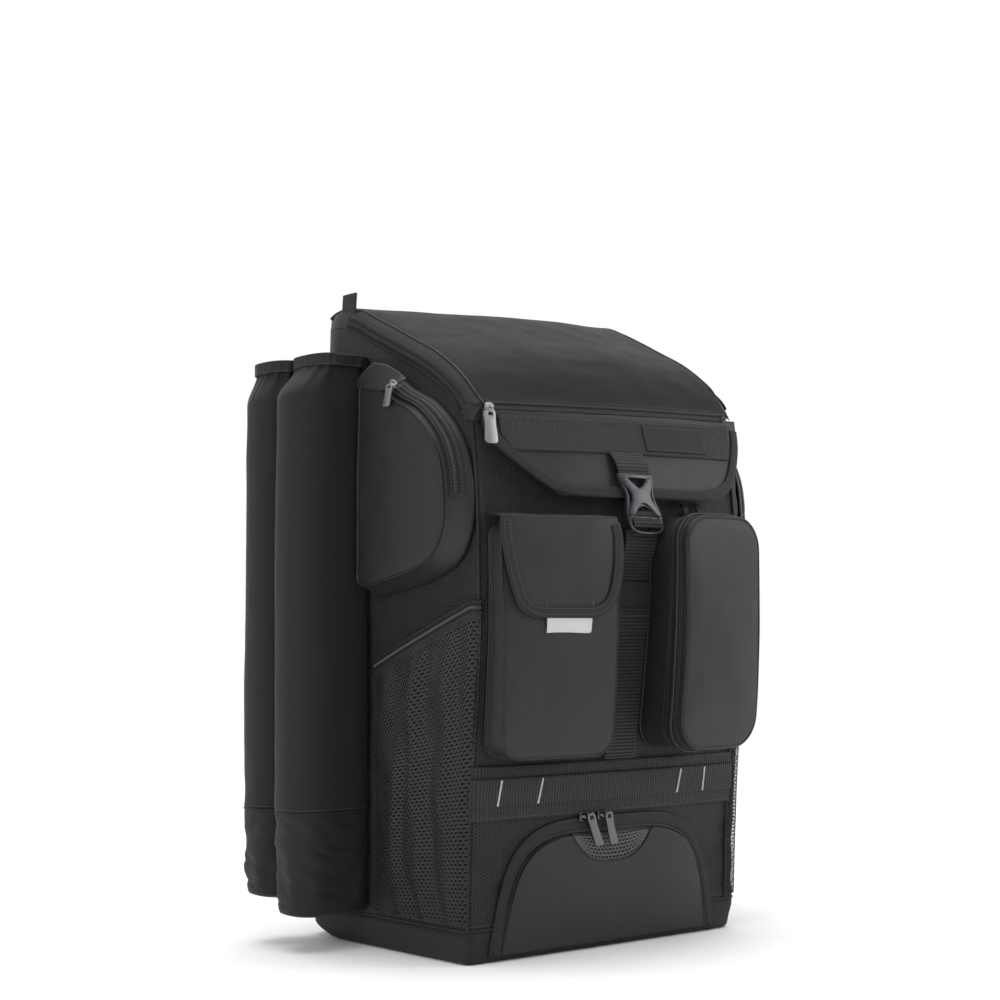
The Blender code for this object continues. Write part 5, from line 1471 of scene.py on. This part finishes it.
def makeZipPocket():
    onBag = sagOut(0.15)
    centre = (zipPocket["x"], zipPocket["bottom"] + zipPocket["tall"] / 2)
    outline = roundedOutline(zipPocket["wide"], zipPocket["tall"], zipPocket["round"])
    deep = zipPocket["deep"]
    shell = pocketForm("zip_pocket_shell", outline, centre, deep, onBag, "coatedCloth", edge=0.0050,
                       crown=0.045, columns=140, wallRows=16, seed=21.0, dent=0.0009, waist=0.0012)
    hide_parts("zip_pocket")

    def edgeAt(share, inset=0.0):
        return pocketEdge(outline, centre, deep, onBag, share, inset)

    cord("zip_pocket_welt", edgeAt(0.965, 0.0016), 0.003, zipPocket["welt"], closed=True)
    cord("zip_pocket_foot", edgeAt(0.02), 0.003, 0.0013, sides=6, closed=True)

    def zipPlace(u, v):
        return edgeAt(zipPocket["zipAt"] - 0.28 * (v - 0.5))(0.04 + 0.70 * u, 0.0010)

    tape = clothGrid("zip_pocket_band", 150, 6, zipPlace, "zipTape", 0.0008)
    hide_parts("zip_pocket_tape")

    def coilRoute(t, off):
        return edgeAt(zipPocket["zipAt"] - off * 0.8 / deep)(0.045 + 0.69 * t, 0.0020 + off)

    scatter("zip_pocket_coil", layRoute(coilRoute, 0.00135), (0.00115, 0.0046, 0.0012), "zipCoil", toothShape)
    for label, shift in (("front", 0.10), ("rear", -0.10)):
        def tapeStitch(t, off, shift=shift):
            return edgeAt(zipPocket["zipAt"] + shift - off * 0.8 / deep)(0.045 + 0.69 * t, 0.0021 + off)

        stitchRow("zip_pocket_stitch_" + label, tapeStitch)
    for label, shift in (("front", 0.155), ("rear", -0.155)):
        seamRoute = edgeAt(zipPocket["zipAt"] + shift)
        cord("zip_pocket_seam_" + label, seamRoute, 0.003, 0.0009, sides=6, closed=True)
    print("zip pocket made")


makeZipPocket()


# Netting: thin cords between the corners of small six-sided cells

def makeNet(name, columns, rows, place, radius, finish="netCord"):
    # every cell is a hexagon; shared corners join the cords into one net
    corners, cords = {}, set()

    def corner(a, b):
        key = (a, b)
        if key not in corners:
            corners[key] = Vector(place(clamp(a / (6.0 * columns)), clamp(b / (6.0 * rows))))
        return key

    for row in range(rows + 1):
        for column in range(columns + 1):
            a, b = column * 6 + (3 if row % 2 else 0), row * 6
            ring = [(a - 3, b - 1), (a, b - 3), (a + 3, b - 1), (a + 3, b + 1), (a, b + 3), (a - 3, b + 1)]
            ring = [corner(min(max(p, 0), 6 * columns), min(max(q, 0), 6 * rows)) for p, q in ring]
            for low, high in zip(ring, ring[1:] + ring[:1]):
                if low != high and (corners[low] - corners[high]).length > 1e-5:
                    cords.add((min(low, high), max(low, high)))
    form = bmesh.new()
    for low, high in sorted(cords):
        a, b = corners[low], corners[high]
        along = (b - a).normalized()
        side = along.cross(Vector((0.37, 0.61, 0.70))).normalized()
        up = along.cross(side)
        rings = []
        for end in (a - along * radius * 0.5, b + along * radius * 0.5):
            rings.append([form.verts.new(end + side * (radius * math.cos(t)) + up * (radius * math.sin(t)))
                          for t in (0.0, 2.094, 4.189)])
        for i in range(3):
            j = (i + 1) % 3
            form.faces.new([rings[0][i], rings[0][j], rings[1][j], rings[1][i]])
        form.faces.new(list(reversed(rings[0])))
        form.faces.new(rings[1])
    bmesh.ops.recalc_face_normals(form, faces=form.faces)
    return addPiece(name, form, finish, 80)


# Shoe door: an arched band over the zip, a welt, the puffed door and its net window

door = {"x": -0.0055, "wide": 0.291, "top": 0.1235, "bottom": 0.006, "band": 0.013, "square": 4.5,
        "taper": 0.16, "bulge": 0.0050, "ventWide": 0.104, "ventTall": 0.028, "pullLong": 0.0335,
        "pullWide": 0.0092}


def doorArch(place, inset):  # place runs from -1, left foot, to 1, right foot
    wide = door["wide"] / 2 - inset
    tall = door["top"] - inset
    power = door["square"]
    shoulder = 0.80
    shoulderRise = (1 - shoulder**power) ** (1 / power)
    footRise = door["bottom"] / tall
    run = abs(place) * 2
    if run <= 1:
        across = shoulder * run
        rise = (1 - across**power) ** (1 / power)
    else:
        rise = shoulderRise + (footRise - shoulderRise) * (run - 1)
        across = (1 - rise**power) ** (1 / power)
    x = math.copysign(wide * across, place) * (1 - door["taper"] * tall * rise / door["top"])
    return (door["x"] + x, tall * rise)


def makeShoeDoor():
    inset = door["band"] * 1.10  # of the cloth inside the band

    def ventDrop(x):
        across = clamp(abs(x - door["x"]) / (door["ventWide"] / 2))
        return door["ventTall"] * (1 - across**3)

    def doorOff(x, z):
        across = clamp(abs(x - door["x"]) / door["wide"] * 2)
        return 0.0008 + door["bulge"] * math.sin(math.pi * clamp(z / door["top"])) ** 0.8 * (1 - across**4)

    def archAt(inwards, off):
        def route(t, lift):
            x, z = doorArch(2 * t - 1, inwards)
            return onFront(x, z, off + lift)

        return route

    def bandPlace(u, v):
        outer, inner = doorArch(2 * u - 1, 0.0), doorArch(2 * u - 1, door["band"] * 0.78)
        x, z = inner[0] + (outer[0] - inner[0]) * v, inner[1] + (outer[1] - inner[1]) * v
        return onFront(x, z, 0.0006 + 0.0013 * math.sin(math.pi * (0.12 + 0.80 * v)))

    band = clothGrid("door_band", 150, 8, bandPlace, "bindingTape", 0.0010)
    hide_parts("shoe_door_tape")
    cord("door_outer_welt", archAt(0.0, 0.0010), 0.003, 0.0014)
    zipLine("door_zip", archAt(door["band"] * 0.86, 0.0004), 0.006, tape=False, coil=0.0036)
    cord("door_inner_welt", archAt(inset, 0.0014), 0.003, 0.0016)
    stitchRow("door_band_stitch", archAt(door["band"] * 0.16, 0.0021))

    def doorPlace(u, v):
        x, top = doorArch(2 * u - 1, inset)
        top = max(top - ventDrop(x), door["bottom"] + gap)
        z = door["bottom"] + (top - door["bottom"]) * v
        return onFront(x, z, doorOff(x, z))

    panel = clothGrid("door_cloth", 150, 50, doorPlace, "coatedCloth", 0.0016,
                      swell=lambda u, v, spot: ripple(*spot, 0.07, 31.0) * 0.0010 * math.sin(math.pi * u))
    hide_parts("shoe_door")

    def rimRoute(t, off):
        x = door["x"] + door["ventWide"] / 2 * 1.02 * (2 * t - 1)
        top = door["top"] - inset - ventDrop(x)
        return onFront(x, top, doorOff(x, top) + 0.0012 + off)

    cord("door_window_rim", rimRoute, 0.002, 0.0012)

    def ventPlace(u, v):
        x = door["x"] + door["ventWide"] / 2 * 0.99 * (2 * u - 1)
        top = door["top"] - door["band"] - 0.0010
        z = top - ventDrop(x) * (1 - v)
        return onFront(x, z, 0.0012 + (doorOff(x, z) - 0.0008) * (1 - v))

    vent = makeNet("door_net", 22, 8, ventPlace, 0.00036, finish="windowCord")
    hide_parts("shoe_door_vent")

    for label, share, lean in (("left", 0.407, 0.44), ("right", 0.465, 0.31)):
        x, z = doorArch(2 * share - 1, door["band"] * -0.15)
        centre = Vector(onFront(x, z, 0.0016))
        makeSlider("door_slider_" + label, centre, (1, 0, 0.0), (0, -1, 0), "darkMetal",
                   (0.0125, 0.0095, 0.0044))

        def pullPlace(a, d, off, x=x, z=z, lean=lean):
            return onFront(x + a + d * lean + 0.002, z + 0.003 - d * 0.93 + a * lean * 0.6,
                           0.0088 + off - 0.0008 * math.sin(math.pi * clamp(d / door["pullLong"])))

        pull = makePull("door_pull_" + label, pullPlace, door["pullLong"], door["pullWide"], 0.0016,
                        "darkMetal")
        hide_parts("shoe_puller_" + label)
    print("shoe door made")


makeShoeDoor()


# Sides: net pocket, zip pocket and two bat sleeves

net = {"frontZ": 0.327, "rearZ": 0.273, "bottom": 0.036, "rearY": 0.006,
       "bulge": {"left": 0.012, "right": 0.004}, "zip": 0.013, "cord": 0.00040, "cellWide": 0.0042,
       "cellTall": 0.0038, "wrap": {"left": 0.0075, "right": 0.0225},
       "crease": {"left": 0.0058, "right": 0.0012}}
sidePocket = {"deep": 0.024, "long": 0.150, "tall": 0.224, "rearY": 0.004, "top": 0.560, "welt": 0.0016,
              "slope": 0.105, "hoodY": 0.006, "hoodLong": 0.068, "pullY": -0.056, "pullZ": 0.5310,
              "pullLong": 0.0205, "pullWide": 0.0105}
sideOutline = [  # forward, down, clockwise from the rear top corner
    (0.05, 0.035), (0.20, 0.045), (0.42, 0.135), (0.66, 0.212), (0.86, 0.330), (0.965, 0.460), (1.00, 0.620),
    (0.985, 0.760), (0.86, 0.885), (0.64, 0.945), (0.35, 0.985), (0.02, 1.000), (0.00, 0.800), (0.00, 0.520),
    (0.02, 0.240),
]
hoodLine = [  # forward, top, bottom
    (0.00, 0.541, 0.534), (0.28, 0.556, 0.529), (0.55, 0.552, 0.526),
    (0.80, 0.544, 0.526), (0.95, 0.537, 0.529), (1.00, 0.534, 0.532),
]
sleeve = {"wide": 0.0615, "frontY": 0.042, "pitch": 0.0635, "reach": {"front": 0.084, "rear": 0.078},
          "top": 0.566, "seam": 0.129, "bottom": {"front": 0.031, "rear": 0.043}, "rim": 0.011,
          "square": 2.5, "seamSquare": 6.0, "gather": 0.0019, "gathers": 11,
          "tuck": {"front": 0.60, "rear": 0.33}, "tuckTall": 0.042, "rimGirth": 0.955}
# height, girth
sleeveUpper = [(0.00, 1.00), (0.30, 1.00), (0.66, 0.995), (0.86, 0.985), (0.93, 0.97), (0.97, 0.95),
               (1.00, 0.945)]
sleeveLower = [(0.00, 0.84), (0.04, 0.89), (0.12, 0.92), (0.40, 0.985), (1.00, 1.00)]


def netTop(y):
    start = cornerFrontY(net["frontZ"])
    share = clamp((y - start) / (net["rearY"] - start))
    return net["frontZ"] + (net["rearZ"] - net["frontZ"]) * share


def makeSide(label, side):
    def sidePoint(y, z, off):  # off stands out from the bag's side
        return ((half + off) * side, y, z)

    def wrapPoint(y, z, off):  # the net goes on round the front corner
        end, tilt = frontEnd(z)
        past = y - cornerFrontY(z)
        if past >= 0:
            return sidePoint(y, z, off)
        return onFront(side * (end + bag["frontCorner"] * (math.pi / 2 - tilt) + past), z, off)

    def bulge(u, v):
        if not 0 < u < 1:
            return 0.0
        return net["bulge"][label] * math.sin(math.pi * u) ** 0.5 * math.sin(math.pi * (0.12 + 0.76 * v))

    def netPlace(u, v):
        z = net["bottom"] + (net["frontZ"] - net["bottom"]) * v
        y = net["rearY"] + (cornerFrontY(z) - net["wrap"][label] - net["rearY"]) * u
        top = netTop(y) - net["zip"] * 0.7
        z = net["bottom"] + (top - net["bottom"]) * v
        wander = 3 * ripple(0.0, u * 0.1, v * 0.1, 0.03, 5.0)
        calm = math.sin(math.pi * u) * soften((1 - v) * 5) * (0.5 + 0.5 * v)
        crease = net["crease"][label] * math.sin(23 * u + 4 * v + wander) * calm
        return wrapPoint(y, z, 0.0008 + bulge(u, v) + crease)

    tall, long = net["frontZ"] - net["bottom"], net["rearY"] - cornerFrontY(0.2)
    mesh = makeNet("side_net_" + label, round(long / net["cellWide"]), round(tall / net["cellTall"]),
                   netPlace, net["cord"])
    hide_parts("mesh_pocket_" + label)

    def tapePoint(t, down, off):
        y = net["rearY"] + (cornerFrontY(net["frontZ"]) - net["wrap"][label] - net["rearY"]) * t
        z = netTop(y) - down
        return wrapPoint(y, z, 0.0014 + bulge(t, 0.0) * 0.8 + off)

    pieces = zipLine("net_zip_" + label, lambda t, off: tapePoint(t, net["zip"] * 0.5, off), net["zip"],
                     coil=0.0028, coilFinish="paleCoil")
    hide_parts("mesh_pocket_tape_" + label)
    sweep("net_hem_" + label, layRoute(lambda t, off: tapePoint(t, net["zip"] + 0.002, off), 0.004),
          bandProfile(0.006, 0.0012), "bindingTape")

    def footSeam(t, off):
        y = net["rearY"] + (cornerFrontY(net["bottom"]) - net["wrap"][label] - net["rearY"]) * t
        return wrapPoint(y, net["bottom"] - 0.001, 0.0004 + bulge(t, 0.0) * 0.6 + off)

    cord("net_seam_" + label, footSeam, 0.004, 0.0012, sides=6, finish="bindingTape")

    # the zip pocket above the net
    centre = (sidePocket["rearY"] - sidePocket["long"] / 2, sidePocket["top"] - sidePocket["tall"] / 2)
    spots = [(sidePocket["long"] * (0.5 - f), sidePocket["tall"] * (0.5 - d)) for f, d in sideOutline]
    count = len(spots)

    def rough(share):
        position = (share % 1.0) * count
        index, t = int(position) % count, position - int(position)
        values = []
        for axis in (0, 1):
            p0, p1, p2, p3 = (spots[(index + k) % count][axis] for k in (-1, 0, 1, 2))
            values.append(0.5 * (2 * p1 + (p2 - p0) * t + (2 * p0 - 5 * p1 + 4 * p2 - p3) * t**2
                                 + (3 * p1 - p0 - 3 * p2 + p3) * t**3))
        return (min(values[0], sidePocket["long"] / 2), values[1])

    outline = evenOutline([Vector((*rough(k / 300), 0.0)) for k in range(301)])
    slope = (sidePocket["slope"], sidePocket["long"] / 2, -0.03)
    shell = pocketForm("side_pocket_shell_" + label, outline, centre, sidePocket["deep"], sidePoint,
                       "coatedCloth", edge=0.0055, wallRows=12, flip=side < 0, dent=0.0010,
                       seed=41.0 + side, slope=slope)
    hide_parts("side_pocket_" + label)
    deep = sidePocket["deep"]

    def edgeAt(share, inset=0.0):
        return pocketEdge(outline, centre, deep, sidePoint, share, inset, slope)

    cord("side_pocket_welt_" + label, edgeAt(0.95, 0.0014), 0.003, sidePocket["welt"], closed=True)

    def zipAt(t, off):
        return edgeAt(0.56 - off * 0.2 / deep)(0.085 + 0.25 * t, 0.0006 + off)

    zips = zipLine("side_pocket_zip_" + label, zipAt, 0.011)
    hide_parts("side_pocket_tape_" + label)
    for name, rise in (("front", 0.80), ("rear", 0.30)):
        def seamRoute(t, off, rise=rise):
            return edgeAt(rise)(0.05 + 0.29 * t, off)

        cord("side_pocket_seam_%s_%s" % (name, label), seamRoute, 0.003, 0.0008, sides=6)

    def joinRoute(t, off):  # across the wall, below the zip
        return edgeAt(0.05 + 0.88 * t)(0.343, off)

    cord("side_pocket_join_" + label, joinRoute, 0.003, 0.0008, sides=6)

    def hoodPlace(u, v):  # small pointed cloth over the end of the zip
        high, low = straightRow(hoodLine, u)
        y = sidePocket["rearY"] - sidePocket["hoodY"] - sidePocket["hoodLong"] * u
        z = low + (high - low) * v
        return sidePoint(y, z, deep * (1.055 - 0.30 * v * soften(u * 2)) + 0.0016)

    clothGrid("side_hood_" + label, 40, 14, hoodPlace, "coatedCloth", 0.0012, flip=side > 0)

    def pullPlace(a, d, off):
        return sidePoint(sidePocket["pullY"] - a + d * 0.30, sidePocket["pullZ"] - d,
                         deep * 1.06 + 0.0034 + off)

    pull = makePull("side_pull_" + label, pullPlace, sidePocket["pullLong"], sidePocket["pullWide"], 0.0014,
                    "satinMetal")
    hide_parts("side_puller_" + label)
    slider = sidePoint(sidePocket["pullY"] - 0.0025, sidePocket["pullZ"], deep + 0.0014)
    makeSlider("side_slider_" + label, slider, (0, -1, -0.35), (side, 0, 0), "satinMetal")

    makeSleeve("front", label, side, sleeve["frontY"])
    makeSleeve("rear", label, side, sleeve["frontY"] + sleeve["pitch"])
    print("side made:", label)


def makeSleeve(which, sideLabel, side, middleY):
    label = which + "_" + sideLabel
    reach, tuck, bottom = sleeve["reach"][which], sleeve["tuck"][which], sleeve["bottom"][which]

    def section(share, girth, extra=0.0, z=0.0):
        angle = 2 * math.pi * share
        c, s = math.cos(angle), math.sin(angle)
        power = 2 / (sleeve["square"] if c > 0 else sleeve["seamSquare"])
        out = math.copysign(abs(c) ** power, c)
        along = math.copysign(abs(s) ** power, s)
        halfY = sleeve["wide"] / 2 * girth + extra
        halfX = reach / 2 * (0.25 + 0.75 * girth) + extra * 0.6
        # the elastic draws it in
        halfX *= 1 - tuck * soften((z - sleeve["top"] + sleeve["tuckTall"]) / (sleeve["tuckTall"] - 0.008))
        foot = reach / 2
        x = half + 0.0006 + foot + (halfX if out > 0 else foot) * out
        return x * side, middleY + along * halfY

    seed = 3.0 * side + (0.0 if which == "front" else 5.0)
    rimStart = sleeve["top"] - sleeve["rim"]

    def upperPlace(u, v):
        share = 1 - (1 - v) ** 1.25
        z = sleeve["seam"] + (sleeve["top"] - sleeve["seam"]) * share
        girth = easedRow(sleeveUpper, share)[0]
        near = soften((z - (sleeve["top"] - 0.050)) / 0.045)
        wander = 2.0 * ripple(u, 0.0, 0.0, 0.2, seed)
        fold = sleeve["gather"] * near * math.cos(2 * math.pi * sleeve["gathers"] * u + wander)
        if abs(z - rimStart) < 0.0022:
            fold -= 0.0009
        x, y = section(u, girth, fold, z)
        return (x, y, z)

    def upperSwell(u, v, spot):
        x, y, z = spot
        outside = soften((abs(x) - half) / 0.02)
        broad = ripple(x, y, z * 0.5, 0.07, seed) * 0.0016
        fine = ripple(x * 1.4, y * 1.4, z * 0.7, 0.022, seed + 2) * 0.0004
        pull = ripple(x, y, z * 2.2, 0.05, seed + 6) * 0.0012 * soften((0.20 - z) / 0.07)
        return (broad + fine + pull) * outside * soften((1 - v) * 12)

    upper = clothGrid("sleeve_" + label, 96, 84, upperPlace, "jerseyCloth", -0.0018, flip=side < 0,
                      swell=upperSwell)
    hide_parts("bat_sleeve_" + label)

    def lowerPlace(u, v):
        step = v * 34
        if step < 6:  # the closed bottom
            spread = (step / 6) ** 0.8
            x, y = section(u, 0.82)
            cx, cy = (half + reach * 0.46) * side, middleY
            return (cx + (x - cx) * spread, cy + (y - cy) * spread, bottom + 0.004 * (step / 6) ** 4)
        share = (step - 6) / 28
        x, y = section(u, easedRow(sleeveLower, share)[0] - 0.006 * math.sin(math.pi * share))
        return (x, y, bottom + 0.004 + (sleeve["seam"] - bottom - 0.004) * share)

    def lowerSwell(u, v, spot):
        x, y, z = spot
        outside = soften((abs(x) - half) / 0.02) * soften((v - 0.2) * 6)
        crease = 1 - abs(ripple(x + z, y - z * 0.6, z * 1.8, 0.034, seed + 9)) * 3.2
        broad = ripple(x, y, z * 1.6, 0.045, seed + 11)
        pleat = 0.0010 * math.cos(2 * math.pi * 8 * u + seed) * soften((bottom + 0.060 - z) / 0.05)
        line = 0.0022 * math.exp(-(((z - bottom - 0.014 - 0.004 * math.sin(6 * u)) / 0.0018) ** 2))
        return (0.0019 * broad - 0.0018 * clamp(crease) + pleat - line) * outside * soften((1 - v) * 10)

    lower = clothGrid("sleeve_foot_" + label, 96, 56, lowerPlace, "baseTwill", -0.0018, flip=side < 0,
                      swell=lowerSwell)
    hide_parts("bat_sleeve_%s_base" % label)

    def ringAt(z, girth, lift=0.0):
        def route(t, off):
            x, y = section(t, girth, off + lift, z)
            return (x, y, z)

        return route

    def rimPlace(u, v):  # the gathered elastic band
        z = rimStart + (sleeve["top"] - rimStart) * v
        wave = 0.0006 * math.cos(2 * math.pi * sleeve["gathers"] * 1.5 * u + seed)
        x, y = section(u, sleeve["rimGirth"] - 0.006 * math.sin(math.pi * v), 0.0014 + wave, sleeve["top"])
        return (x, y, z + 0.0006)

    clothGrid("sleeve_band_" + label, 160, 8, rimPlace, "bindingTape", 0.0009, flip=side < 0)
    cord("sleeve_rim_" + label, ringAt(sleeve["top"] + 0.0002, sleeve["rimGirth"], 0.0014), 0.002, 0.0013,
         finish="bindingTape", closed=True)
    stitchRow("sleeve_rim_stitch_" + label, ringAt(rimStart + 0.0018, sleeve["rimGirth"], 0.0030),
              closed=True)
    stitchRow("sleeve_seam_stitch_" + label, ringAt(sleeve["seam"] + 0.0035, 1.0, 0.0006), closed=True,
              pitch=0.0028)
    cord("sleeve_seam_" + label, ringAt(sleeve["seam"], 1.0, 0.0002), 0.003, 0.0009, sides=6,
         finish="bindingTape", closed=True)


for label, side in sides:
    makeSide(label, side)


# Back: quilted pad, shoulder straps, adjusters, lower webbing and haul handle

back = {"padWide": 0.250, "padLow": 0.060, "padHigh": 0.580, "padThick": 0.012, "strapWide": 0.062,
        "strapThick": 0.009, "arch": 0.032, "topX": 0.062, "lowX": 0.098, "strapHigh": 0.570,
        "strapLow": 0.220, "webWide": 0.025, "webEnd": 0.070, "adjustWide": 0.034, "adjustTall": 0.026,
        "handleSpan": 0.024, "handleRise": 0.026, "handleFoot": 0.588, "stand": 0.0012,
        "quilts": (0.20, 0.36, 0.52, 0.68, 0.84)}


def makeBack():
    def padOff(u, v):
        edge = min(u, 1 - u) * 2, min(v, 1 - v) * 4
        rim = (clamp(edge[0] * 5) * clamp(edge[1] * 5)) ** 0.5
        channel = min(abs(v - seam) for seam in back["quilts"])
        sewn = 1 - 0.55 * math.exp(-(channel / 0.012) ** 2)
        middle = 1 - 0.6 * math.exp(-((u - 0.5) / 0.06) ** 2)
        return 0.0008 + back["padThick"] * rim * sewn * middle

    def padPlace(u, v):
        z = back["padLow"] + (back["padHigh"] - back["padLow"]) * v
        corner = 0.035 * max(0.0, (abs(v - 0.5) - 0.44) / 0.06) ** 2
        x = (back["padWide"] / 2 - corner) * (1 - 2 * u)
        return (x, backY(z) + padOff(u, v), z)

    pad = clothGrid("back_pad", 80, 150, padPlace, "padCloth")
    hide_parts("back_panel")

    def padEdge(t, off):
        x, y, z = padPlace(*walkEdges(t))
        return (x, y + 0.0012 + off, z)

    cord("back_pad_edge", padEdge, 0.004, 0.0018, finish="bindingTape", closed=True)

    for label, side in sides:
        def strapLine(v):
            z = back["strapLow"] + (back["strapHigh"] - back["strapLow"]) * v
            x = back["lowX"] + (back["topX"] - back["lowX"]) * v
            arch = back["arch"] * math.sin(math.pi * v) ** 1.5 if 0 < v < 1 else 0.0
            return x, z, backY(z) + back["padThick"] + back["stand"] + arch

        def around(u, v, side=side):  # a padded strap: flat below, crowned on top, bound at its edges
            x, z, y = strapLine(v)
            narrow = (1 - 0.35 * (1 - v) ** 2) * back["strapWide"] / 2
            angle = 2 * math.pi * u
            a = math.copysign(abs(math.cos(angle)) ** 0.55, math.cos(angle))
            b = math.copysign(abs(math.sin(angle)) ** 0.8, math.sin(angle))
            return (side * x + narrow * a, y + back["strapThick"] * (0.5 + 0.48 * b), z)

        strap = clothGrid("strap_" + label, 40, 110, around, "padCloth", flip=True)
        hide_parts("shoulder_strap_" + label)
        for edge, turn in (("inner", -1), ("outer", 1)):
            def edgeRoute(t, off, turn=turn, side=side):
                x, z, y = strapLine(t)
                narrow = (1 - 0.35 * (1 - t) ** 2) * back["strapWide"] / 2
                return (side * x + turn * (narrow - 0.001), y + back["strapThick"] * 0.5 + off, z)

            cord("strap_%s_edge_%s" % (label, edge), edgeRoute, 0.005, 0.0022, finish="bindingTape")

        def webRoute(t, off, side=side):  # webbing sewn along the strap
            x, z, y = strapLine(0.04 + 0.80 * t)
            return (side * x, y + back["strapThick"] * 0.98 + off, z)

        sweep("strap_web_" + label, layRoute(webRoute, 0.004), bandProfile(back["webWide"], 0.0014),
              "ribbedWebbing")

        adjustTop = back["strapLow"] - 0.0008

        def adjustPlace(a, b, depth, side=side):
            y = backY(back["strapLow"]) + back["padThick"] + back["stand"] + 0.003
            return (side * back["lowX"] - a, y + depth, adjustTop - back["adjustTall"] + b)

        w, t = back["adjustWide"] / 2, back["adjustTall"]
        outer = roundOff([(-w, 0.0), (w, 0.0), (w * 0.94, t), (-w * 0.94, t)], 2)
        slotLow = roundOff([(-w * 0.78, t * 0.14), (w * 0.78, t * 0.14), (w * 0.78, t * 0.40),
                            (-w * 0.78, t * 0.40)], 2)
        slotHigh = roundOff([(-w * 0.76, t * 0.60), (w * 0.76, t * 0.60), (w * 0.76, t * 0.86),
                             (-w * 0.76, t * 0.86)], 2)
        adjuster = mouldedPlate("adjuster_" + label, [outer, slotLow, slotHigh], 0.0050, 0.0012, adjustPlace)
        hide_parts("strap_adjuster_" + label)

        def lowRoute(t, off, side=side):
            z = back["webEnd"] + (adjustTop - back["adjustTall"] * 0.35 - back["webEnd"]) * t
            return (side * back["lowX"], backY(z) + back["padThick"] + back["stand"] + off, z)

        low = sweep("low_web_" + label, layRoute(lowRoute, 0.004), bandProfile(back["webWide"], 0.0014),
                    "ribbedWebbing")
        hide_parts("lower_strap_" + label)

    def handleRoute(t, off):
        turn = math.pi * t
        out = (back["handleRise"] + off) * math.sin(turn)
        x = (back["handleSpan"] + off) * math.cos(turn)
        return (x, backY(back["handleFoot"]) + 0.0017 + out, back["handleFoot"] + out * 0.35)

    handle = sweep("handle", layRoute(handleRoute, 0.002), bandProfile(0.011, 0.0050, -0.0025),
                   "ribbedWebbing")
    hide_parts("haul_handle")
    print("back made")


makeBack()

print("size written")
